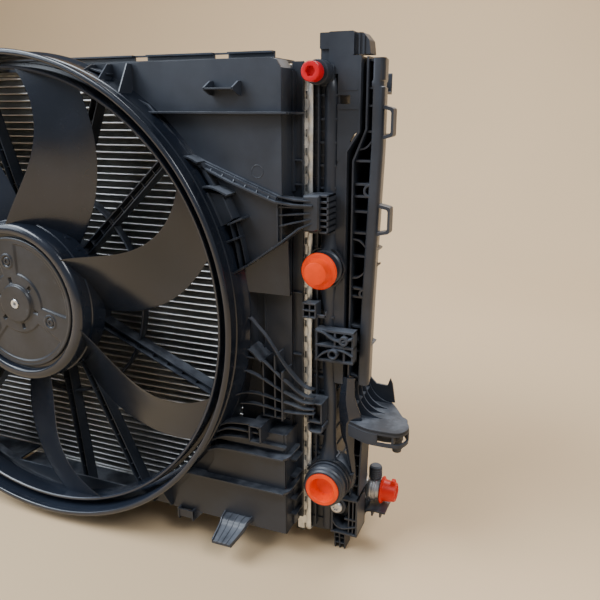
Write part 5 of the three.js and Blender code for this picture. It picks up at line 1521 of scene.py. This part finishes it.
def lower_beam_shape():
    """Open channel across the car with an arm to each lower bracket, tabs and a strap."""
    low, back, front, wall = GROUND, 50, 84, 2.5
    beam = Shape().prism(rounded([
        (back, low), (front, low), (front, low + 46), (front - wall, low + 46),
        (front - wall, low + wall),
        (back + wall, low + wall), (back + wall, low + 36), (back, low + 36)], 1.2, 3),
        -329.5, 329.5, "x")
    for x in np.linspace(-300, 300, 21):
        beam.prism([(back + 1, low + 1), (front - 1, low + 1), (front - 1, low + 40),
                    (back + 1, low + 22)], x - 1, x + 1, "x")
    for side in (-1, 1):
        arm = np.sort([side * 326.5, side * 349.5])
        beam.block(*arm, BRACKET_FRONT + 0.3, back + 1, -237, -228)
        for z in (-239.6, -225.6):
            beam.block(*arm, BRACKET_FRONT + 4, back + 1, z - 0.2, z + 2.4)
        tab = side * 288.3
        beam.block(tab - 8, tab + 8, back, front, low + 33, -208.4)
    strap = smooth([(346.5, -234), (356.5, -226), (366, -224.6), (376.4, -225)], 6)
    beam.rib(strap, BRACKET_FRONT + 4, back - 6, 2.6)
    for x in (352, 362, 371):
        z = np.interp(x, strap[:, 0], strap[:, 1])
        beam.block(x - 1, x + 1, BRACKET_FRONT + 4, back - 6, z - 6, z)
    return beam


def upper_beam_shape():
    low, high = span("upper_beam")
    back, front, wall = 56, 78, 2.5
    z0, z1 = low[2], high[2]
    beam = Shape().prism(rounded([
        (back, z0), (front, z0), (front, z1), (front - wall, z1), (front - wall, z0 + wall),
        (back + wall, z0 + wall), (back + wall, z1), (back, z1)], 1.2, 3), low[0], high[0], "x")
    for x in np.linspace(low[0] + 12, high[0] - 12, 25):
        beam.block(x - 1, x + 1, back + 1, front - 1, z0 + 1, z1 - 3)
    for side in (-1, 1):
        arm = np.sort([side * (high[0] - 10.5), side * high[0]])
        beam.block(*arm, CARRIER_FRONT + 0.3, back + 1, z0, z0 + wall)
        beam.block(*arm, CARRIER_FRONT + 0.3, back + 1, z1 - wall, z1)
        for x in (arm[0] + 1.2, arm[1] - 1.2, arm.mean()):
            beam.block(x - 1.2, x + 1.2, CARRIER_FRONT + 0.3, back + 1, z0 + 1, z1 - 1)
    return beam


def gasket_shape():
    """Rubber ring between header and tank: a closed loop of round section."""
    low, high = span("tank_gasket_right")
    line = rim_loop(low + (0, 2, 2), high - (0, 2, 2), 6, 3)
    return Shape().pipe(spread(line, (low[0] + high[0]) / 2, "x"), 0.95, 12, closed=True)


# ------------------------------------------------------------------------------ sizes and colours
def length(name, description, default_mm, low_mm, high_mm):
    return FloatProperty(name=name, description=description, default=default_mm * MM,
                         min=low_mm * MM, max=high_mm * MM, precision=4, unit="LENGTH")


def colour(name, description, default):
    return FloatVectorProperty(name=name, description=description, default=default, size=3,
                               min=0, max=1, subtype="COLOR")


class RadiatorSizes(bpy.types.PropertyGroup):
    """Sizes of the finer detail."""
    tube_pitch: length("Tube pitch", "Spacing of the radiator's flat tubes", 7.63, 5, 14)
    fin_pitch: length("Fin pitch", "Length of one fold of the fins", 3.0, 2, 8)
    crimp_pitch: length("Crimp pitch", "Spacing of the crimps on the header rims", 16.6, 8, 30)
    blade: length("Blade thickness", "Thickest part of a fan blade at its root", 3.0, 1.5, 5)
    edge: length("Edge rounding", "Rounding of moulded edges", 0.35, 0.05, 0.8)
    lobes: IntProperty(name="Clip waves", description="Waves round each hose clip", default=6,
                       min=0, max=12)


class RadiatorColours(bpy.types.PropertyGroup):
    """Base colours, which each finish varies."""
    plastic: colour("Moulded plastic", "Shroud, tanks and carriers", (0.024, 0.029, 0.040))
    blades: colour("Fan plastic", "Fan blades, ring and hub", (0.011, 0.0145, 0.023))
    motor: colour("Motor steel", "Coated cover and can of the motor", (0.018, 0.020, 0.025))
    fins: colour("Fins and tubes", "Brazed aluminium of the cores", (0.50, 0.50, 0.49))
    plate: colour("Header plate", "Crimped aluminium plates", (0.80, 0.80, 0.77))
    bright_steel: colour("Bright steel", "Screws, shaft and clips", (0.62, 0.62, 0.63))
    copper: colour("Copper", "Enamelled winding wire", (0.55, 0.20, 0.07))
    orange: colour("Orange caps", "Coolant port caps", (0.88, 0.055, 0.001))
    red: colour("Red cap", "Bleed port cap", (0.58, 0.003, 0.012))
    vermilion: colour("Vermilion cap", "Refrigerant port cap", (0.74, 0.018, 0.003))
    rubber: colour("Rubber", "Gaskets and isolators", (0.018, 0.018, 0.018))
    floor: colour("Floor", "Plain pale floor", (0.76, 0.55, 0.33))


# ------------------------------------------------------------------------------ pieces
class RADIATOR_OT_core(bpy.types.Operator):
    """Finned core, its side plates, header plates and gaskets"""
    bl_idname = "radiator.core"
    bl_label = "Radiator core"

    def execute(self, context):
        sizes = context.scene.radiator_sizes
        tubes, fins = finned_block(CORE_LOW, CORE_HIGH, sizes.tube_pitch / MM, 2,
                                   sizes.fin_pitch / MM, 0.8)
        build("core_fins", fins, looks["fin_aluminium"], "fin_aluminium", ["radiator_core"], soft=0,
              sharp=20)
        build("core_tubes", tubes, looks["tube_metal"], "fin_aluminium", soft=0, sharp=60)
        for name, up in (("top", True), ("bottom", False)):
            node = f"core_side_plate_{name}"
            build(f"side_plate_{name}", channel_plate(*span(node), up), looks["plate_aluminium"],
                  "plate_aluminium", [node], soft=0.25)
        build_pair("header", header_plate(sizes.crimp_pitch / MM), looks["plate_aluminium"],
                   "plate_aluminium", ["header_plate"], soft=0.2)
        build_pair("gasket", gasket_shape(), looks["rubber"], "rubber", ["tank_gasket"], soft=0)
        return {"FINISHED"}


class RADIATOR_OT_tanks(bpy.types.Operator):
    """End tanks with their necks, and the drain tap"""
    bl_idname = "radiator.tanks"
    bl_label = "End tanks"

    def execute(self, context):
        edge = context.scene.radiator_sizes.edge / MM
        look = looks["tank_plastic"]
        build("tank_right", tank_right_shape(), look, "tank_plastic", ["end_tank_right"], soft=edge)
        build("tank_left", tank_left_shape(), look, "tank_plastic", ["end_tank_left"], soft=edge)
        build("drain_grip", drain_tap_shape(), looks["dull_plastic"], "tank_plastic", ["drain_tap"],
              body="drain_tap_body", soft=edge)
        return {"FINISHED"}


class RADIATOR_OT_caps(bpy.types.Operator):
    """Transport caps of the ports and the spring clips on their necks"""
    bl_idname = "radiator.caps"
    bl_label = "Port caps and clips"

    def execute(self, context):
        waves = context.scene.radiator_sizes.lobes
        orange = looks["orange_plastic"]
        build("upper_cap_cup", cap_cup(UPPER_PORT, -37, -1), orange, "orange_plastic",
              ["upper_port_cap"], body="upper_cap", soft=0)
        build("lower_plug_cup", cap_cup(LOWER_PORT, -46.3, 1), orange, "orange_plastic",
              ["lower_port_plug"], body="lower_plug", soft=0.2)
        build("bleed_cap_cup", bleed_cap_shape(), looks["red_plastic"], "red_plastic",
              ["bleed_port_cap"], body="bleed_cap", soft=0.2)
        # The spring clips are bright steel; giving them the dark coated motor steel is painted
        # shade where they sit behind the caps' brims.
        for height, *sizes in (("upper", UPPER_PORT, 17.6, -22.4, 2),
                               ("lower", LOWER_PORT, 20.9, -25.9, 2.6)):
            build(f"{height}_clip", clip_shape(*sizes, waves), looks["motor_steel"], "motor_steel",
                  [f"{height}_port_clip"], soft=0.2)
        return {"FINISHED"}


class RADIATOR_OT_fan(bpy.types.Operator):
    """Ring fan, motor cover, screws and shaft"""
    bl_idname = "radiator.fan"
    bl_label = "Fan and motor"

    def execute(self, context):
        thickness = context.scene.radiator_sizes.blade / MM
        build("fan_wheel", fan_wheel(thickness), looks["gloss_plastic"], "gloss_plastic", ["fan"],
              body="fan_rotor", soft=0, sharp=40)
        build("cover_disc", cover_shape(), looks["motor_steel"], "motor_steel", ["rotor_cover"],
              body="fan_rotor", soft=0, sharp=75)
        for number, degrees in enumerate(SCREW_ANGLES, 1):
            place = SCREW_CIRCLE * heading(degrees)[0]
            build(f"cover_screw_{number}", socket_head(place, -93.6, 4.5, 1.6, -88),
                  looks["motor_steel"], "motor_steel", [f"rotor_screw_{number}"], body="fan_rotor",
                  soft=0)
        shaft = Shape().turned([(0, -93.6), (1.7, -94.4), (2.1, -96.6), (4.5, -96.9), (5, -96.4),
                                (5, -43.4), (4.6, -43), (0, -43)], segments=48)
        build("shaft", shaft, looks["bright_steel"], "bright_steel", ["motor_shaft"],
              body="fan_rotor", soft=0)
        paint(looks["motor_steel"], "rotor_can")
        paint(looks["magnet"], "magnet_ring")
        paint(looks["copper"], "stator_winding")
        paint(looks["bright_steel"], "shaft_bearing_front", "shaft_bearing_rear")
        paint(looks["cast_aluminium"], "motor_base", "fan_controller")
        paint(looks["dull_plastic"], "controller_socket")
        return {"FINISHED"}


class RADIATOR_OT_shroud(bpy.types.Operator):
    """Shroud: collar, both halves of the panel, motor spider and tongues"""
    bl_idname = "radiator.shroud"
    bl_label = "Fan shroud"

    def execute(self, context):
        edge = context.scene.radiator_sizes.edge / MM
        look = looks["satin_plastic"]
        build("shroud_collar", collar_shape(), looks["gloss_plastic"], "satin_plastic",
              ["fan_shroud"], soft=0, sharp=50)
        build_pair("shroud_panel", shroud_side(), look, "satin_plastic", [], soft=edge)
        build("spider", spider_shape(), look, "satin_plastic", ["motor_spider"], soft=edge)
        build_pair("tongue", tongue_shape(), look, "satin_plastic", ["shroud_tongue"], soft=edge)
        for height, latch in (("upper", upper_latch()), ("lower", lower_latch())):
            build_pair(f"latch_{height}", latch, look, "satin_plastic",
                       [f"shroud_latch_{height}"], soft=edge)
        build("cable_guide", cable_clip_shape(), look, "satin_plastic", ["cable_clip"], soft=edge)
        return {"FINISHED"}


class RADIATOR_OT_carriers(bpy.types.Operator):
    """Side carriers, wings, brackets, isolators and their screws"""
    bl_idname = "radiator.carriers"
    bl_label = "Side carriers"

    def execute(self, context):
        edge = context.scene.radiator_sizes.edge / MM
        satin, dull = looks["satin_plastic"], looks["dull_plastic"]
        build_pair("carrier", carrier_shape(), satin, "satin_plastic", ["side_carrier"], soft=edge)
        build_pair("wing", wing_shape(), dull, "satin_plastic", ["wing_bracket"], soft=edge)
        build_pair("swept_panel", swept_panel(), looks["gloss_plastic"], "satin_plastic", [],
                   soft=edge)
        build_pair("tank_arm", tank_bracket_shape(), dull, "satin_plastic", ["tank_bracket"],
                   soft=edge)
        build_pair("isolator", isolator_shape(), looks["isolator_rubber"], "rubber",
                   ["wing_isolator"], soft=0)
        build_pair("foot", lower_bracket_shape(), satin, "satin_plastic", ["lower_bracket"],
                   soft=edge)
        build_pair("foot_screw", socket_head(BRACKET_SCREW, -25.6, 6.4, 3.2, -11),
                   looks["bright_steel"], "bright_steel", ["bracket_screw"], soft=0)
        return {"FINISHED"}


class RADIATOR_OT_condenser(bpy.types.Operator):
    """Condenser, drier, refrigerant fitting with its caps, and the two beams"""
    bl_idname = "radiator.condenser"
    bl_label = "Condenser side"

    def execute(self, context):
        edge = context.scene.radiator_sizes.edge / MM
        sheet = looks["plate_aluminium"]
        tubes, fins = finned_block(*span("condenser_core"), 11, 2, 5, 0.8)
        build("condenser_fins", fins, looks["fin_aluminium"], "fin_aluminium", ["condenser_core"],
              soft=0, sharp=20)
        build("condenser_flat_tubes", tubes, looks["tube_metal"], "fin_aluminium", soft=0, sharp=60)
        for side in ("right", "left"):
            node = f"condenser_tube_{side}"
            build(f"condenser_manifold_{side}", upright_tube(node), sheet, "plate_aluminium",
                  [node], soft=0)
        build("drier_bottle", drier_shape(), sheet, "plate_aluminium", ["receiver_drier"], soft=0)
        build("fitting_elbow", fitting_shape(), looks["fitting_metal"], "plate_aluminium",
              ["refrigerant_fitting"], soft=0.2)
        build("charging_cap", service_cap_shape(), looks["dull_plastic"], "satin_plastic",
              ["service_port_cap"], body="service_dust_cap", soft=0)
        build("fitting_cup", fitting_cap_shape(), looks["vermilion_plastic"], "red_plastic",
              ["fitting_cap"], body="fitting_dust_cap", soft=0.2)
        for height, shape in (("lower", lower_beam_shape()), ("upper", upper_beam_shape())):
            build(f"beam_{height}", shape, looks["satin_plastic"], "satin_plastic",
                  [f"{height}_beam"], soft=edge)
        return {"FINISHED"}


# ------------------------------------------------------------------------------ stage
CAMERA_PLACE = (0.5201, -0.5810, 0.4593)
CAMERA_AIM = (0.2680, 0.0418, 0.2630)
CAMERA_LENS = 38.98


def aimed(name, data, place, aim):
    made = bpy.data.objects.new(name, data)
    made.location = place
    made.rotation_euler = (Vector(aim) - Vector(place)).to_track_quat("-Z", "Y").to_euler()
    bpy.context.scene.collection.objects.link(made)
    return made


def soft_light(name, place, aim, width, height, power, tint):
    light = bpy.data.lights.new(name, "AREA")
    light.shape = "RECTANGLE"
    light.size, light.size_y = width, height
    light.energy = power
    light.color = tint
    aimed(name, light, place, aim)


class RADIATOR_OT_stage(bpy.types.Operator):
    """Pale floor that curves up behind, soft lights and the camera"""
    bl_idname = "radiator.stage"
    bl_label = "Stage"

    def execute(self, context):
        scene = context.scene
        finish = Finish("floor", specular=0.25)
        tone = scene.radiator_colours.floor
        cloud = finish.noise(1.3, 3, 0.5)
        look = finish.done(colour=finish.mix(shade(tone, 0.94), shade(tone, 1.05), cloud),
                           roughness=cloud * 0.1 + 0.65)
        profile = np.vstack([[(-4.5, 0), (1.2, 0)], arc((1.2, 1.2), 1.2, -90, 0, 24)[1:],
                             [(2.4, 4)]])
        rows = spread(np.repeat(profile[None], 2, axis=0), np.array([[-5], [5]]), "x")
        mesh = bpy.data.meshes.new("floor")
        mesh.from_pydata(rows.reshape(-1, 3).tolist(), [], net(2, len(profile)).tolist())
        mesh.polygons.foreach_set("use_smooth", np.ones(len(profile) - 1, bool))
        mesh.materials.append(look)
        floor = bpy.data.objects.new("floor", mesh)
        scene.collection.objects.link(floor)
        soft_light("over_left", (-1.0, -1.1, 2.1), (0.1, 0, 0.25), 1.6, 1.0, 74, (0.86, 0.93, 1.0))
        soft_light("front", (-1.9, -1.5, 1.3), (0.1, 0, 0.25), 1.3, 1.3, 30, (0.82, 0.90, 1.0))
        soft_light("over_right", (1.6, -0.9, 1.9), (0.3, 0, 0.3), 0.8, 0.8, 22, (0.95, 0.97, 1.0))
        soft_light("behind", (0.5, 1.6, 2.2), (0.1, 0, 0.4), 1.8, 0.7, 44, (0.90, 0.95, 1.0))
        world = bpy.data.worlds.new("studio")
        world.use_nodes = True
        sky = world.node_tree.nodes["Background"]
        sky.inputs["Color"].default_value = (0.80, 0.88, 1.0, 1)
        sky.inputs["Strength"].default_value = 0.3
        scene.world = world
        camera = bpy.data.cameras.new("camera")
        camera.lens = CAMERA_LENS
        camera.sensor_width = 36
        scene.camera = aimed("camera", camera, CAMERA_PLACE, CAMERA_AIM)
        return {"FINISHED"}


OPERATORS = (RADIATOR_OT_core, RADIATOR_OT_tanks, RADIATOR_OT_caps, RADIATOR_OT_fan,
             RADIATOR_OT_shroud, RADIATOR_OT_carriers, RADIATOR_OT_condenser, RADIATOR_OT_stage)


class RADIATOR_PT_panel(bpy.types.Panel):
    """Lists the sizes, the colours and the pieces"""
    bl_label = "Car radiator module"
    bl_space_type = "VIEW_3D"
    bl_region_type = "UI"
    bl_category = "Radiator"

    def draw(self, context):
        for group in (context.scene.radiator_sizes, context.scene.radiator_colours):
            column = self.layout.column(align=True)
            for name in group.__annotations__:
                column.prop(group, name)
        for operator in OPERATORS:
            self.layout.operator(operator.bl_idname)


CLASSES = (RadiatorSizes, RadiatorColours, *OPERATORS, RADIATOR_PT_panel)


def register():
    for item in CLASSES:
        bpy.utils.register_class(item)
    bpy.types.Scene.radiator_sizes = PointerProperty(type=RadiatorSizes)
    bpy.types.Scene.radiator_colours = PointerProperty(type=RadiatorColours)


def unregister():
    del bpy.types.Scene.radiator_colours
    del bpy.types.Scene.radiator_sizes
    for item in reversed(CLASSES):
        bpy.utils.unregister_class(item)


def corners(box):
    return [[float(value) for value in corner] for corner in box]


def main():
    register()
    make_looks(bpy.context.scene.radiator_colours)
    bpy.ops.radiator.core()
    bpy.ops.radiator.tanks()
    bpy.ops.radiator.caps()
    bpy.ops.radiator.fan()
    bpy.ops.radiator.shroud()
    bpy.ops.radiator.carriers()
    bpy.ops.radiator.condenser()
    bpy.ops.radiator.stage()


if __name__ == "__main__":
    main()
